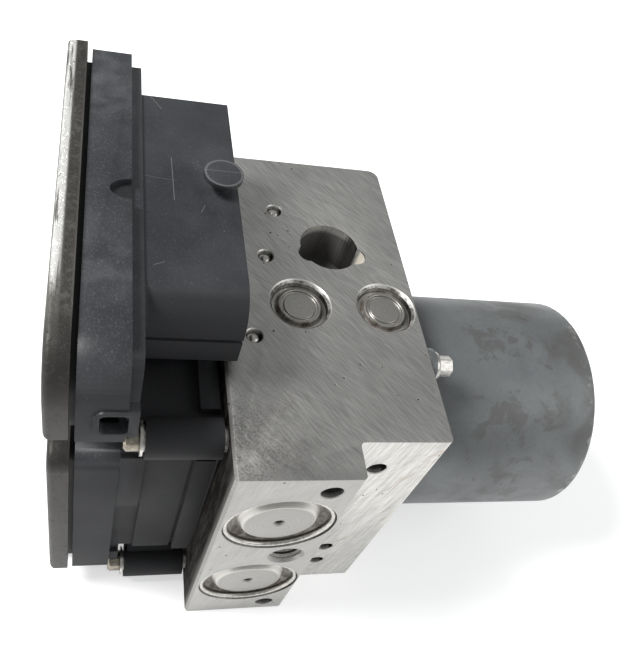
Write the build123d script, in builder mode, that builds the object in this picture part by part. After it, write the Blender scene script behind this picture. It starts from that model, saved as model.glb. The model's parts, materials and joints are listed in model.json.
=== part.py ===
from build123d import *
import math
import os

os.makedirs("parts", exist_ok=True)

# Anti-lock brake module lying on its rear face. Millimetres, +Z up.
# Origin: centre of the valve block's underside. -X is the controller side, +X the motor side,
# -Y the accumulator side, +Y the pipe port side, +Z the face with the front pump and damper plugs.

# ---- clearances shared by all pieces
fit_gap = 0.05          # between a seated piece and its bore
running_gap = 0.06      # between a sliding or turning piece and its guide
face_gap = 0.10         # between a moving face and the face it stops against
screw_play = 0.20       # radial play of a screw or a pin in the sheet it passes
cut_past = 1.0          # how far a cut runs past the face it opens

# ---- valve block
block_x = 45.0
block_y = 88.3
block_z = 73.2
block_edge = 0.6
block_corner = 2.5
notch_x = 19.8          # step cut out of the block's lower motor-side corner
notch_y = 7.9
notch_corner = 1.0
controller_face = -block_x / 2
motor_face = block_x / 2
accumulator_face = -block_y / 2
port_face = block_y / 2
notch_face = accumulator_face + notch_y

# ---- motor axis and pump
motor_y = -2.15
motor_z = 35.8
eccentric_throw = 0.9
eccentric_x = 15.2
journal_r = 5.0
needle_r = 0.71
needle_count = 14
ring_wall = 1.5
ring_width = 7.6
chamber_r = 11.5
chamber_depth = 15.0
pump_piston_r = 3.2
pump_piston_length = 13.0
pump_bore_r = 5.6
pump_spring_seat = 1.6      # height of the piston's shoulder under its end
pump_piston_bevel = 0.6
pump_piston_step = 1.4
pump_spring_room = 0.2      # under the piston's shoulder at rest
pump_spring_wire = 0.9
pump_spring_r = 2.9
pump_spring_turns = 4
needle_ring_r = journal_r + needle_r + running_gap / 2
ring_inner_r = journal_r + 2 * needle_r + running_gap
ring_outer_r = ring_inner_r + ring_wall
piston_tip = ring_outer_r + eccentric_throw + face_gap
piston_end = piston_tip + pump_piston_length
pump_bore_floor = piston_end - pump_spring_seat - pump_spring_room

# ---- plugs over the pump and damper bores
plug_x = (eccentric_x, -4.6)
plug_mouth_r = 7.05
plug_chamfer = 0.7
plug_seat_depth = 3.2
plug_depth = 6.2
plug_ring_r = 4.9           # raised ring round the plug's disc
plug_ring_width = 0.7
plug_ring_height = 1.1
plug_disc_r = 3.5
plug_disc_height = 0.95
plug_groove = 1.9           # depth of the plug's outer groove under the block's face
plug_disc_depth = 1.4       # depth of the groove between the ring and the disc
plug_edge = 0.1
damper_depth = 20.0
plug_r = plug_mouth_r - plug_chamfer - fit_gap

# ---- ball plugs: x, y of the small countersunk drillings in the top face
ball_r = 1.7
ball_drill_depth = 4.2
ball_sink = 0.3             # countersink round a ball, and how deep its ball sits
ball_seats = ((-7.2, 26.15), (-10.9, 11.25), (-15.8, -11.45))

# ---- inspection pocket in the top face
pocket_x = 4.8
pocket_y = 15.4
pocket_r = 7.0
pocket_depth = 11.0
pocket_slot_x = 5.15
pocket_slot_y = 13.1
pocket_slot_length = 16.3
pocket_slot_width = 5.2
pocket_slot_depth = 6.0

# ---- pressure accumulators
accumulator_x = -9.7
accumulator_z = (52.7, 19.2)
accumulator_mouth_r = 11.8
accumulator_bore_r = 10.4
accumulator_depth = 24.0
accumulator_step = 2.4
cover_sheet = 1.0
cover_rise = 0.9            # how far the cover's raised disc stands over its rim
cover_flat_r = 7.4
cover_flank = 1.6           # width of the slope round the disc
cover_rim_width = 0.2       # ledge of the rim inside the bore's edge
cover_groove = 0.7
cover_vent_r = 0.8
cover_dimple_r = 1.5
cover_dimple = 0.45
snap_ring_r = 0.55
accumulator_piston_length = 8.0
accumulator_piston_wall = 2.4
accumulator_piston_floor = 2.0
accumulator_piston_clear = 0.2      # between the piston's back and the bore's end
seal_groove_start = 2.6
seal_groove_depth = 1.2
seal_groove_width = 1.7
accumulator_spring_wire = 1.4
accumulator_spring_r = 6.4
accumulator_spring_turns = 5

# ---- drillings in the accumulator face and the notch face
side_hole_x = -2.8
side_holes = ((67.7, 2.45), (4.4, 2.4))             # z, radius
side_hole_depth = 30.0
notch_holes = ((9.8, 62.0, 2.28), (10.5, 19.8, 2.13), (10.6, 10.8, 2.06))   # x, z, radius
notch_hole_depth = 30.0
hole_chamfer = 0.2
plug_ball_inset = 7.0
mount_x = -4.45
mount_z = 35.94
mount_thread_r = 3.4
mount_mouth_r = 4.2
mount_depth = 16.0

# ---- solenoid valves: one column for each wheel, an inlet row over an outlet row
valve_pitch = 14.9
valve_columns = 4
inlet_row_y = 24.0
outlet_row_y = 6.0
valve_r = 5.2
valve_depth = 10.0
valve_flange_r = 6.1
valve_flange = 1.2
dome_r = 3.0
dome_wall = 0.5
dome_height = 12.0
valve_seat_r = 0.5
valve_seat_floor = 2.0      # height of the seat above the cartridge's end
valve_guide_r = 1.0
valve_guide = 4.0           # length of the narrow guide over the seat
plunger_stroke = 0.35
plunger_tip_gap = 0.05
needle_tip_r = 0.8
inlet_shoulder = 3.2        # height of each plunger's shoulder over the guide
outlet_shoulder = 0.4
inlet_crown_gap = 0.7
outlet_crown = 7.6
valve_spring_wire = 0.3
valve_spring_r = 1.6
valve_spring_turns = 4
inlet_spring_length = 2.6
coil_gap = 0.15
coil_r = 6.9
coil_bobbin = 1.0
coil_lip = 0.5
coil_start = 0.6
coil_end = 11.2
coil_pin = 0.7
coil_pin_spread = 6.0
coil_pin_offset = 3.6
coil_pin_root = 0.2
wheel_drill_r = 1.4
wheel_drill_x = -14.0

# ---- pipe ports in the +Y face
wheel_port_x = -10.5
wheel_port_r = 4.5
master_port_x = 9.5
master_port_z = (19.8, 53.4)
master_port_r = 5.5
port_depth = 12.0
port_seat_r = 2.0
port_seat_depth = 4.0
port_chamfer = 0.8

# ---- motor
motor_r = 27.5
motor_length = 51.0
can_wall = 2.0
can_round = 2.2
end_plate = 2.0
ear_circle_r = 35.7
ear_angles = (110.8, 350.8, 230.8)      # directions of the ears about the motor axis, from +Y towards +Z
ear_r = 3.9
ear_flare = 2.5
bearing_seat_wall = 1.6
bearing_lip = 1.0
motor_screw_r = 2.0
motor_screw_length = 9.0
screw_flange_r = 3.5
screw_flange = 1.0
screw_flange_bevel = 0.3
screw_head_r = 2.4
screw_head = 3.4
screw_socket_r = 1.4
screw_socket = 2.0
magnet_thickness = 5.4
magnet_length = 26.0
magnet_arc = 124.0
air_gap = 0.6
shaft_r = 4.0
core_length = 23.0
core_slots = 10
slot_width = 3.4
slot_depth = 8.0
slot_lip = 1.2              # thickness of the core's rim outside its slots
slot_mouth = (3.2, 1.2)
winding_gap = 0.2           # between a winding and its slot
winding_head = 3.3
winding_head_gap = 0.1
winding_drop = 1.6          # how far the winding heads stay inside the core's rim
commutator_r = 8.5
commutator_length = 7.6
commutator_bars = 20
commutator_cut = (1.6, 0.4)
commutator_gap = 0.4
winding_space = 4.6         # from the commutator to the core
bearing_r = 9.5
bearing_width = 4.6
rear_bearing_r = 8.0
rear_seat_wall = 2.0
holder_thickness = 2.6
holder_gap = 0.6
holder_hole_gap = 1.0
brush_width = 4.4
brush_length = 9.0
brush_start = 0.1
brush_case = (1.0, 2.4)     # how much longer and wider than a brush its case is
brush_case_start = 1.4
brush_case_open = 3.0
shaft_end_gap = 0.4
journal_cheek = 0.4         # how far the journal reaches past its ring
shaft_tip = 2.4
shaft_tip_drop = 0.6
roller_end_gap = 0.6
contact_y = 15.0
contact_z = 36.6
contact_r = 1.3
contact_hole_r = 2.1

# ---- controller (electronic unit)
seal_thickness = 0.9
seal_width = 1.4
seal_inset = 0.2
seal_post_gap = 0.3
shell_wall = 1.8
floor_thickness = 2.2
frame_depth = 8.4
frame_floor = 1.2
valve_room_depth = 16.3     # from the block-side rim to the tray floor
frame_top = 48.65
frame_low_front = -37.85
frame_low_rear = -34.35
frame_front = 95.2
frame_rear = 5.7
frame_round = 9.0
frame_step_drop = 19.3      # from the frame's front down to its lower step
tray_inset = 2.0
room_top = 41.0
room_low = -33.05
room_margin = 5.0           # from the block's top face to the valve room's front
room_rear = 5.2
room_cut = 11.0
post_outset = 0.5           # how far the front posts' axes stand past the valve room
post_inset = -0.3
post_y = (-33.0, -32.1, 37.5)
post_r = 4.0
bush_r = 2.6
bush_wall = 0.5
bush_proud = 0.45           # how far a bush stands out of its post's outer end
washer_r = 3.4
washer = 0.5
controller_screw_r = 1.95
controller_screw_head_r = 2.5
controller_screw_head = 3.0
controller_screw_bevel = 0.5
controller_screw_length = 24.5
controller_screw_hole = 9.5
controller_drive_r = 1.9
controller_drive = 1.7
access_r = 7.2
access_round = 4.0
rear_access_r = 3.8
frame_top_round = 0.3
frame_rear_round = 3.0
tray_round = 4.0
rim_width = 3.9             # raised mounting rim round the valve room
rim_height = 0.9
rim_length = 45.0
rim_front_height = 2.0
rim_front_start = 5.7       # from the room's lower side to the front rim's end
rim_front_end = 5.0
rim_groove = (0.7, 0.6)
pad_width = 2.5             # raised pad where the valve room meets the tray
pad_height = 1.0
pad_start = 41.2
pad_length = 21.5
step_start = 13.2           # shallow step in the room's lower wall beside the pad
step_length = 28.0
step_depth = 1.1
step_past_pad = 0.6
web_r = 2.4                 # web from the lower rear post to the room's cut corner
web_run = 8.6
web_start = 2.5
web_end = 5.0
slot_x = -44.05             # vent slot in the frame's lower side, with a raised rim
slot_drop = 12.9
slot_size = (4.8, 5.6)
slot_round = 1.0
slot_rim = 0.5
slot_rim_width = 0.95
slot_rim_round = 1.8
slot_rim_end = -40.0
recess_y = 4.9              # half-round recess in the frame's front edge
recess_reach = 4.1
recess_half = 2.7
recess_depth = 1.2

# ---- connector shroud on the controller
shroud_mouth = 18.8         # height of the mouth above the tray floor
shroud_top = 38.1
shroud_low = -20.85
shroud_drop = 2.6           # from the frame's front to the shroud's
shroud_depth = 16.6
shroud_wall = 2.0
shroud_round = 7.0
shroud_small_round = 1.6
shroud_edge_round = 0.4
shroud_groove = 0.9
shroud_groove_drop = 9.4
stud_x = -24.2
stud_y = 11.0
stud_head_r = 3.95
stud_neck_r = 2.2
stud_height = 3.4
stud_head = 1.0
pin_rows = 3
pin_columns = 12
pin_pitch = 3.4
pin_row_pitch = 3.6
pin_size = 0.7
pin_reach = 11.0
pin_margin = 5.0            # from the shroud's lower side to the first pin column
pin_through = 0.8           # how far pins stand out of the board
blade_size = (1.0, 5.4)
blade_pitch = 6.4
blade_gap = 5.6             # from the last pin column to the first blade
blade_row_pitch = 6.6
pin_hole_gap = 0.1

# ---- lid and circuit board
lid_gap = 1.0
lid_depth = 4.2
lid_wall = 2.4
lid_overhang = 1.4
lid_low_margin = 0.3
lid_step_rise = 1.2
lid_rear_margin = 1.0
lid_round = 1.2
lid_top_round = 1.5
lid_spigot = 2.0
lid_spigot_wall = 1.2
lid_spigot_gap = 0.3
board_thickness = 1.6
board_post = 2.0
board_post_r = 2.2
board_post_drop = 10.0
board_post_rise = 11.3
board_post_y = (-22.0, 41.5)
board_margin = 1.2
chips = (       # y, z, width, height, thickness
    (18.7, 50.0, 14.0, 14.0, 1.5), (-8.0, 60.0, 9.0, 9.0, 1.2), (-14.0, 30.0, 10.0, 7.0, 1.6),
    (33.0, 40.0, 8.0, 12.0, 1.6), (0.0, 24.0, 12.0, 8.0, 2.6), (18.5, 22.0, 6.0, 6.0, 3.4),
)
capacitors = ((-18.0, 46.0, 3.2, 4.6), (20.0, 66.0, 3.2, 4.6))      # y, z, radius, height

frame_step_z = frame_front - frame_step_drop
room_front = block_z - room_margin
front_post_z = room_front + post_outset
rear_post_z = room_rear + post_inset
slot_z = frame_front - slot_drop
shroud_front = frame_front - shroud_drop
shroud_rear = shroud_front - shroud_depth
shroud_groove_z = shroud_front - shroud_groove_drop
screw_posts = (      # y, z
    (post_y[0], front_post_z), (post_y[1], rear_post_z), (post_y[2], front_post_z), (post_y[2], rear_post_z),
)
board_post_z = (frame_front - board_post_drop, frame_rear + board_post_rise)
board_posts = [(y, z) for y in board_post_y for z in board_post_z]

rim_x = controller_face - seal_thickness
floor_x = rim_x - valve_room_depth
tray_x = floor_x - floor_thickness
frame_x = tray_x - frame_depth
lid_x = frame_x - lid_gap
tray_floor_x = tray_x - frame_floor
board_x = tray_floor_x - board_post
pin_start = board_x - board_thickness - pin_through

OUT_TOP = (0, 0, 1)
OUT_UNDER = (0, 0, -1)
OUT_CONTROLLER = (-1, 0, 0)
OUT_MOTOR = (1, 0, 0)
OUT_ACCUMULATOR = (0, -1, 0)
OUT_PORT = (0, 1, 0)


def write(name, piece):
    """Label a finished piece and save it as its own STEP file."""
    piece.part.label = name
    export_step(piece.part, f"parts/{name}.step")
    return piece


def seat(x, y, z, out):
    """Plane at a bore's mouth: its normal points out of the mouth."""
    return Plane((x, y, z), z_dir=out)


def turn(place, outline, mode=Mode.ADD):
    """Revolve (radius, height) points about a seat plane's normal, inside a BuildPart block."""
    section = Plane(place.origin, x_dir=place.x_dir, z_dir=-place.y_dir)
    with BuildSketch(section) as profile:
        with BuildLine():
            Polyline(*outline, close=True)
        make_face()
    revolve(profile.sketch, axis=Axis(place.origin, place.z_dir), mode=mode)


def turned(name, places, outline):
    """One node of equal turned pieces, one at each place."""
    with BuildPart() as piece:
        for place in places:
            turn(place, outline)
    return write(name, piece)


def coil(place, radius, wire, start, end, turns):
    """Helical spring about a seat plane's normal between two heights, inside a BuildPart block."""
    rise = end - start - wire
    base = Plane(place.origin + place.z_dir * (start + wire / 2), x_dir=place.x_dir, z_dir=place.z_dir)
    helix = base.location * Helix(pitch=rise / turns, height=rise, radius=radius, mode=Mode.PRIVATE)
    with BuildSketch(Plane(helix @ 0, z_dir=helix % 0)) as wire_section:
        Circle(wire / 2)
    sweep(wire_section.sketch, path=helix)


valve_z = [block_z / 2 + (column - (valve_columns - 1) / 2) * valve_pitch for column in range(valve_columns)]
inlet_seats = [seat(controller_face, inlet_row_y, z, OUT_CONTROLLER) for z in valve_z]
outlet_seats = [seat(controller_face, outlet_row_y, z, OUT_CONTROLLER) for z in valve_z]
valve_seats = inlet_seats + outlet_seats
accumulator_seats = [seat(accumulator_x, accumulator_face, z, OUT_ACCUMULATOR) for z in accumulator_z]
top_plug_seats = [seat(x, motor_y, block_z, OUT_TOP) for x in plug_x]
under_plug_seats = [seat(x, motor_y, 0, OUT_UNDER) for x in plug_x]
wheel_ports = [seat(wheel_port_x, port_face, z, OUT_PORT) for z in valve_z]
master_ports = [seat(master_port_x, port_face, z, OUT_PORT) for z in master_port_z]
mount_seat = seat(mount_x, accumulator_face, mount_z, OUT_ACCUMULATOR)
ball_places = [seat(x, y, block_z, OUT_TOP) for x, y in ball_seats]
screw_places = [seat(controller_face, y, z, OUT_CONTROLLER) for y, z in screw_posts]
ear_places = [
    seat(
        motor_face + end_plate,
        motor_y + ear_circle_r * math.cos(math.radians(angle)),
        motor_z + ear_circle_r * math.sin(math.radians(angle)),
        OUT_MOTOR,
    )
    for angle in ear_angles
]
motor_end = motor_face + motor_length


def across_motor(x):
    """Plane across the motor axis at the given x: local axes are +Y and +Z."""
    return Plane((x, motor_y, motor_z), x_dir=(0, 1, 0), z_dir=(1, 0, 0))


# ---- valve block: one machined aluminium piece with all its bores
plug_counterbore = [
    (0, cut_past), (plug_mouth_r, cut_past), (plug_mouth_r, 0), (plug_mouth_r - plug_chamfer, -plug_chamfer),
    (plug_mouth_r - plug_chamfer, -plug_seat_depth), (pump_bore_r, -plug_seat_depth),
]
with BuildPart() as hydraulic_block:
    Box(block_x, block_y, block_z, align=(Align.CENTER, Align.CENTER, Align.MIN))
    with Locations((motor_face, accumulator_face, 0)):
        Box(notch_x, notch_y, block_z, align=(Align.MAX, Align.MIN, Align.MIN), mode=Mode.SUBTRACT)
    upright = hydraulic_block.edges().filter_by(Axis.Z)
    fillet(upright.filter_by(lambda e: e.center().Y > 0 and e.center().X > 0), block_corner)
    upright = hydraulic_block.edges().filter_by(Axis.Z)
    notch_edges = upright.filter_by(lambda e: e.center().Y < 0 and e.center().X > controller_face / 2)
    fillet(notch_edges, notch_corner)
    controller_edges = hydraulic_block.faces().sort_by(Axis.X)[0].edges()
    chamfer(controller_edges, block_edge)
    for place, depth in zip(top_plug_seats, (block_z - motor_z - pump_bore_floor, damper_depth)):
        turn(place, plug_counterbore + [(pump_bore_r, -depth), (0, -depth)], Mode.SUBTRACT)
    for place, depth in zip(under_plug_seats, (motor_z - pump_bore_floor, damper_depth)):
        turn(place, plug_counterbore + [(pump_bore_r, -depth), (0, -depth)], Mode.SUBTRACT)
    with Locations((eccentric_x, motor_y, motor_z)):
        Cylinder(pump_piston_r + running_gap, 2 * (pump_bore_floor + cut_past), mode=Mode.SUBTRACT)
    with Locations(seat(motor_face, motor_y, motor_z, OUT_MOTOR)):
        Hole(chamber_r, chamber_depth)
    with Locations(*valve_seats):
        CounterBoreHole(valve_r, valve_flange_r + fit_gap, valve_flange, valve_depth)
    with Locations(*accumulator_seats):
        CounterBoreHole(accumulator_bore_r, accumulator_mouth_r, accumulator_step, accumulator_depth)
    with Locations(*ball_places):
        CounterSinkHole(ball_r + fit_gap, ball_r + ball_sink, ball_drill_depth, 90)
    for z, radius in side_holes:
        with Locations(seat(side_hole_x, accumulator_face, z, OUT_ACCUMULATOR)):
            CounterSinkHole(radius - hole_chamfer, radius, side_hole_depth, 90)
    for x, z, radius in notch_holes:
        with Locations(seat(x, notch_face, z, OUT_ACCUMULATOR)):
            CounterSinkHole(radius - hole_chamfer, radius, notch_hole_depth, 90)
    with Locations(mount_seat):
        CounterSinkHole(mount_thread_r, mount_mouth_r, mount_depth, 90)
    with Locations(*wheel_ports):
        CounterSinkHole(wheel_port_r, wheel_port_r + port_chamfer, port_depth, 90)
        Hole(port_seat_r, port_depth + port_seat_depth)
    with Locations(*master_ports):
        CounterSinkHole(master_port_r, master_port_r + port_chamfer, port_depth, 90)
        Hole(port_seat_r, port_depth + port_seat_depth)
    drill_start = port_face - port_depth + cut_past
    for z in valve_z:
        with Locations(seat(wheel_drill_x, drill_start, z, OUT_PORT)):
            Hole(wheel_drill_r, drill_start - accumulator_face - accumulator_depth + cut_past)
    with Locations(*screw_places):
        Hole(controller_screw_r + fit_gap, controller_screw_hole)
    with Locations(*[Plane((motor_face, p.origin.Y, p.origin.Z), z_dir=OUT_MOTOR) for p in ear_places]):
        Hole(motor_screw_r + fit_gap, motor_screw_length)
    with Locations(seat(controller_face, contact_y, contact_z, OUT_CONTROLLER)):
        Hole(contact_hole_r, block_x)
    with BuildSketch(Plane.XY.offset(block_z)):
        with Locations((pocket_x, pocket_y)):
            Circle(pocket_r)
    extrude(amount=-pocket_depth, mode=Mode.SUBTRACT)
    with BuildSketch(Plane.XY.offset(block_z)):
        with Locations((pocket_slot_x, pocket_slot_y)):
            SlotOverall(pocket_slot_length, pocket_slot_width)
    extrude(amount=-pocket_slot_depth, mode=Mode.SUBTRACT)
write("hydraulic_block", hydraulic_block)

# ---- plugs, balls and mounting-side closures
plug_outline = [
    (0, -plug_depth), (pump_bore_r - fit_gap, -plug_depth), (pump_bore_r - fit_gap, -plug_seat_depth),
    (plug_r, -plug_seat_depth), (plug_r, -plug_groove), (plug_ring_r + plug_edge, -plug_groove),
    (plug_ring_r - plug_edge, plug_ring_height - plug_groove),
    (plug_ring_r - plug_ring_width + plug_edge, plug_ring_height - plug_groove),
    (plug_ring_r - plug_ring_width, -plug_disc_depth), (plug_disc_r + plug_edge, -plug_disc_depth),
    (plug_disc_r, plug_disc_height - plug_groove), (0, plug_disc_height - plug_groove),
]
turned("pump_plug_top", top_plug_seats[:1], plug_outline)
turned("damper_plug_top", top_plug_seats[1:], plug_outline)
turned("pump_plug_under", under_plug_seats[:1], plug_outline)
turned("damper_plug_under", under_plug_seats[1:], plug_outline)

with BuildPart() as ball_plugs:
    for place in ball_places:
        with Locations(place.origin - place.z_dir * (ball_r + ball_sink)):
            Sphere(ball_r)
    for z, radius in side_holes:
        with Locations((side_hole_x, accumulator_face + plug_ball_inset, z)):
            Sphere(radius - hole_chamfer - fit_gap)
    for x, z, radius in notch_holes:
        with Locations((x, notch_face + plug_ball_inset, z)):
            Sphere(radius - hole_chamfer - fit_gap)
write("ball_plugs", ball_plugs)

# ---- pump elements: a piston and its return spring on each side of the motor axis
pump_seats = {
    "top": (seat(eccentric_x, motor_y, motor_z, OUT_TOP), block_z - motor_z - plug_depth),
    "under": (seat(eccentric_x, motor_y, motor_z, OUT_UNDER), motor_z - plug_depth),
}
for side, (place, plug_height) in pump_seats.items():
    turned(f"pump_piston_{side}", [place], [
        (0, piston_tip), (pump_piston_r - pump_piston_bevel, piston_tip),
        (pump_piston_r, piston_tip + pump_piston_bevel), (pump_piston_r, piston_end - pump_spring_seat),
        (pump_piston_r - pump_piston_step, piston_end - pump_spring_seat),
        (pump_piston_r - pump_piston_step, piston_end), (0, piston_end),
    ])
    with BuildPart() as pump_spring:
        spring_foot = piston_end - pump_spring_seat + fit_gap
        coil(place, pump_spring_r, pump_spring_wire, spring_foot, plug_height - fit_gap, pump_spring_turns)
    write(f"pump_spring_{side}", pump_spring)

# ---- accumulators: dished cover, snap ring, piston with its seal, and spring
cover_rim = -accumulator_step
cover_floor = cover_rim + cover_rise
piston_back = -accumulator_depth + accumulator_piston_clear
piston_front = piston_back + accumulator_piston_length
piston_r = accumulator_bore_r - running_gap
groove_back = piston_back + seal_groove_start
cup_r = accumulator_bore_r - accumulator_piston_wall
cup_floor = piston_back + accumulator_piston_floor
cover_top = cover_floor + cover_sheet
cover_edge_r = accumulator_mouth_r - fit_gap
cover_bend_r = accumulator_bore_r - cover_rim_width
cover_foot_r = cover_flat_r + cover_flank
for label, place in zip(("top", "under"), accumulator_seats):
    turned(f"accumulator_cover_{label}", [place], [
        (cover_vent_r, cover_floor), (cover_flat_r - cover_sheet / 2, cover_floor),
        (cover_foot_r - cover_sheet / 2, cover_rim - cover_groove),
        (cover_bend_r - cover_groove / 2, cover_rim - cover_groove), (cover_bend_r, cover_rim),
        (cover_edge_r, cover_rim), (cover_edge_r, cover_rim + cover_sheet),
        (cover_bend_r, cover_rim + cover_sheet),
        (cover_bend_r - cover_groove, cover_rim + cover_sheet - cover_groove),
        (cover_foot_r, cover_rim + cover_sheet - cover_groove), (cover_flat_r, cover_top),
        (cover_dimple_r, cover_top), (cover_vent_r, cover_top - cover_dimple),
    ])
    turned(f"accumulator_piston_{label}", [place], [
        (0, piston_back), (piston_r, piston_back), (piston_r, groove_back),
        (piston_r - seal_groove_depth, groove_back),
        (piston_r - seal_groove_depth, groove_back + seal_groove_width),
        (piston_r, groove_back + seal_groove_width), (piston_r, piston_front), (cup_r, piston_front),
        (cup_r, cup_floor), (0, cup_floor),
    ])
    with BuildPart() as seal_ring:
        seal_r = (seal_groove_depth - running_gap / 2) / 2
        ring_r = piston_r - seal_groove_depth / 2
        height = groove_back + seal_groove_width / 2
        with Locations(Plane(place.origin + place.z_dir * height, z_dir=place.z_dir)):
            Torus(ring_r, seal_r)
    write(f"accumulator_seal_{label}", seal_ring)
    with BuildPart() as accumulator_spring:
        coil(
            place, accumulator_spring_r, accumulator_spring_wire,
            cup_floor + fit_gap, cover_floor - fit_gap, accumulator_spring_turns,
        )
    write(f"accumulator_spring_{label}", accumulator_spring)

with BuildPart() as snap_rings:
    for place in accumulator_seats:
        height = cover_rim + cover_sheet + snap_ring_r + fit_gap
        with Locations(Plane(place.origin + place.z_dir * height, z_dir=place.z_dir)):
            Torus(accumulator_mouth_r - snap_ring_r - fit_gap, snap_ring_r)
write("snap_rings", snap_rings)

# ---- solenoid valves: cartridge, plunger and spring; inlets rest open, outlets rest shut
plunger_r = dome_r - dome_wall - running_gap
bore_r = dome_r - dome_wall
seat_height = -valve_depth + valve_seat_floor
guide_top = seat_height + valve_guide
dome_inside = dome_height - dome_wall
cartridge_outline = [
    (valve_seat_r, -valve_depth + fit_gap), (valve_r - fit_gap, -valve_depth + fit_gap),
    (valve_r - fit_gap, -valve_flange), (valve_flange_r, -valve_flange), (valve_flange_r, 0),
    (dome_r, 0), (dome_r, dome_height), (0, dome_height), (0, dome_inside),
    (bore_r, dome_inside), (bore_r, guide_top), (valve_guide_r, guide_top),
    (valve_guide_r, seat_height), (valve_seat_r, seat_height),
]
kinds = {
    "inlet": (inlet_seats, plunger_stroke, inlet_shoulder, dome_inside - inlet_crown_gap),
    "outlet": (outlet_seats, 0, outlet_shoulder, outlet_crown),
}
for kind, (places, lift, shoulder, crown) in kinds.items():
    tip = seat_height + plunger_tip_gap + lift
    body_start = guide_top + shoulder
    for number, place in enumerate(places, start=1):
        turned(f"{kind}_valve_{number}", [place], cartridge_outline)
        turned(f"{kind}_plunger_{number}", [place], [
            (0, tip), (needle_tip_r, tip + needle_tip_r), (needle_tip_r, body_start),
            (plunger_r, body_start), (plunger_r, crown), (0, crown),
        ])

with BuildPart() as valve_springs:
    for place in inlet_seats:
        start = guide_top + fit_gap
        coil(place, valve_spring_r, valve_spring_wire, start, start + inlet_spring_length, valve_spring_turns)
    for place in outlet_seats:
        start = outlet_crown + plunger_stroke + fit_gap
        coil(place, valve_spring_r, valve_spring_wire, start, dome_inside - fit_gap, valve_spring_turns)
write("valve_springs", valve_springs)

with BuildPart() as valve_coils:
    for place in valve_seats:
        turn(place, [
            (dome_r + coil_gap, coil_start), (coil_r, coil_start), (coil_r, coil_start + coil_bobbin),
            (coil_r - coil_lip, coil_start + coil_bobbin), (coil_r - coil_lip, coil_end - coil_bobbin),
            (coil_r, coil_end - coil_bobbin), (coil_r, coil_end), (dome_r + coil_gap, coil_end),
        ])
        pin_root = controller_face - coil_end + coil_pin_root
        pin_length = pin_root - board_x + board_thickness + pin_through
        for side in (-1, 1):
            pin_side = place.origin.Z + side * coil_pin_spread / 2
            with Locations((pin_root, place.origin.Y + coil_pin_offset, pin_side)):
                Box(pin_length, coil_pin, coil_pin, align=(Align.MAX, Align.CENTER, Align.CENTER))
write("valve_coils", valve_coils)

# ---- motor: drawn steel can, end plate with two screw ears, magnets
can_start = motor_face + end_plate
can_inside = motor_end - can_wall
with BuildPart() as motor_can:
    with BuildSketch(across_motor(can_start)):
        Circle(motor_r)
    extrude(amount=motor_end - can_start)
    fillet(motor_can.faces().sort_by(Axis.X)[-1].edges(), can_round)
    with BuildSketch(across_motor(can_start)):
        Circle(motor_r - can_wall)
    extrude(amount=can_inside - can_start, mode=Mode.SUBTRACT)
    rear_bearing_x = can_inside - bearing_width
    with BuildSketch(across_motor(rear_bearing_x)):
        Circle(rear_bearing_r + rear_seat_wall)
        Circle(rear_bearing_r + fit_gap, mode=Mode.SUBTRACT)
    extrude(amount=bearing_width + can_wall / 2)
write("motor_can", motor_can)

with BuildPart() as motor_end_plate:
    with BuildSketch(across_motor(motor_face)):
        Circle(motor_r)
        for angle in ear_angles:
            with BuildSketch(mode=Mode.PRIVATE) as ear:
                with PolarLocations(ear_circle_r, 1, start_angle=angle):
                    Circle(ear_r)
                with PolarLocations(motor_r, 1, start_angle=angle):
                    Circle(ear_r + ear_flare)
                make_hull()
            add(ear.sketch)
            with PolarLocations(ear_circle_r, 1, start_angle=angle):
                Circle(motor_screw_r + screw_play, mode=Mode.SUBTRACT)
        with Locations((contact_y - motor_y, contact_z - motor_z)):
            Circle(contact_hole_r, mode=Mode.SUBTRACT)
        Circle(bearing_r - bearing_lip, mode=Mode.SUBTRACT)
    extrude(amount=end_plate)
    with BuildSketch(across_motor(can_start)):
        Circle(bearing_r + bearing_seat_wall)
        Circle(bearing_r + fit_gap, mode=Mode.SUBTRACT)
    extrude(amount=bearing_width)
write("motor_end_plate", motor_end_plate)

magnet_r = motor_r - can_wall - fit_gap
core_r = magnet_r - magnet_thickness - air_gap
holder_x = can_start + bearing_width + holder_gap
commutator_x = holder_x + commutator_gap
core_x = commutator_x + commutator_length + winding_space
magnet_x = core_x - (magnet_length - core_length) / 2
with BuildPart() as motor_magnets:
    with BuildSketch(across_motor(magnet_x)):
        for side in (0, 180):
            with BuildSketch(mode=Mode.PRIVATE) as arc_magnet:
                half_arc = math.radians(magnet_arc / 2)
                with BuildLine():
                    reach = 2 * magnet_r
                    along, across = reach * math.cos(half_arc), reach * math.sin(half_arc)
                    Polyline(
                        (0, 0), (along, -across), (reach, -across), (reach, across), (along, across),
                        close=True,
                    )
                make_face()
                Circle(magnet_r, mode=Mode.INTERSECT)
                Circle(magnet_r - magnet_thickness, mode=Mode.SUBTRACT)
            add(arc_magnet.sketch, rotation=side)
    extrude(amount=magnet_length)
write("motor_magnets", motor_magnets)

# ---- rotor: shaft with the eccentric journal, core, windings and commutator
journal_centre = Plane((eccentric_x, motor_y - eccentric_throw, motor_z), x_dir=(0, 1, 0), z_dir=OUT_MOTOR)
journal_half = ring_width / 2 + journal_cheek
with BuildPart() as rotor_shaft:
    with BuildSketch(across_motor(eccentric_x + journal_half)):
        Circle(shaft_r)
    extrude(amount=can_inside - shaft_end_gap - eccentric_x - journal_half)
    with BuildSketch(journal_centre.offset(-journal_half)):
        Circle(journal_r)
    extrude(amount=2 * journal_half)
    with BuildSketch(across_motor(eccentric_x - journal_half - shaft_tip)):
        Circle(shaft_r - shaft_tip_drop)
    extrude(amount=shaft_tip)
write("rotor_shaft", rotor_shaft)

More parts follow.
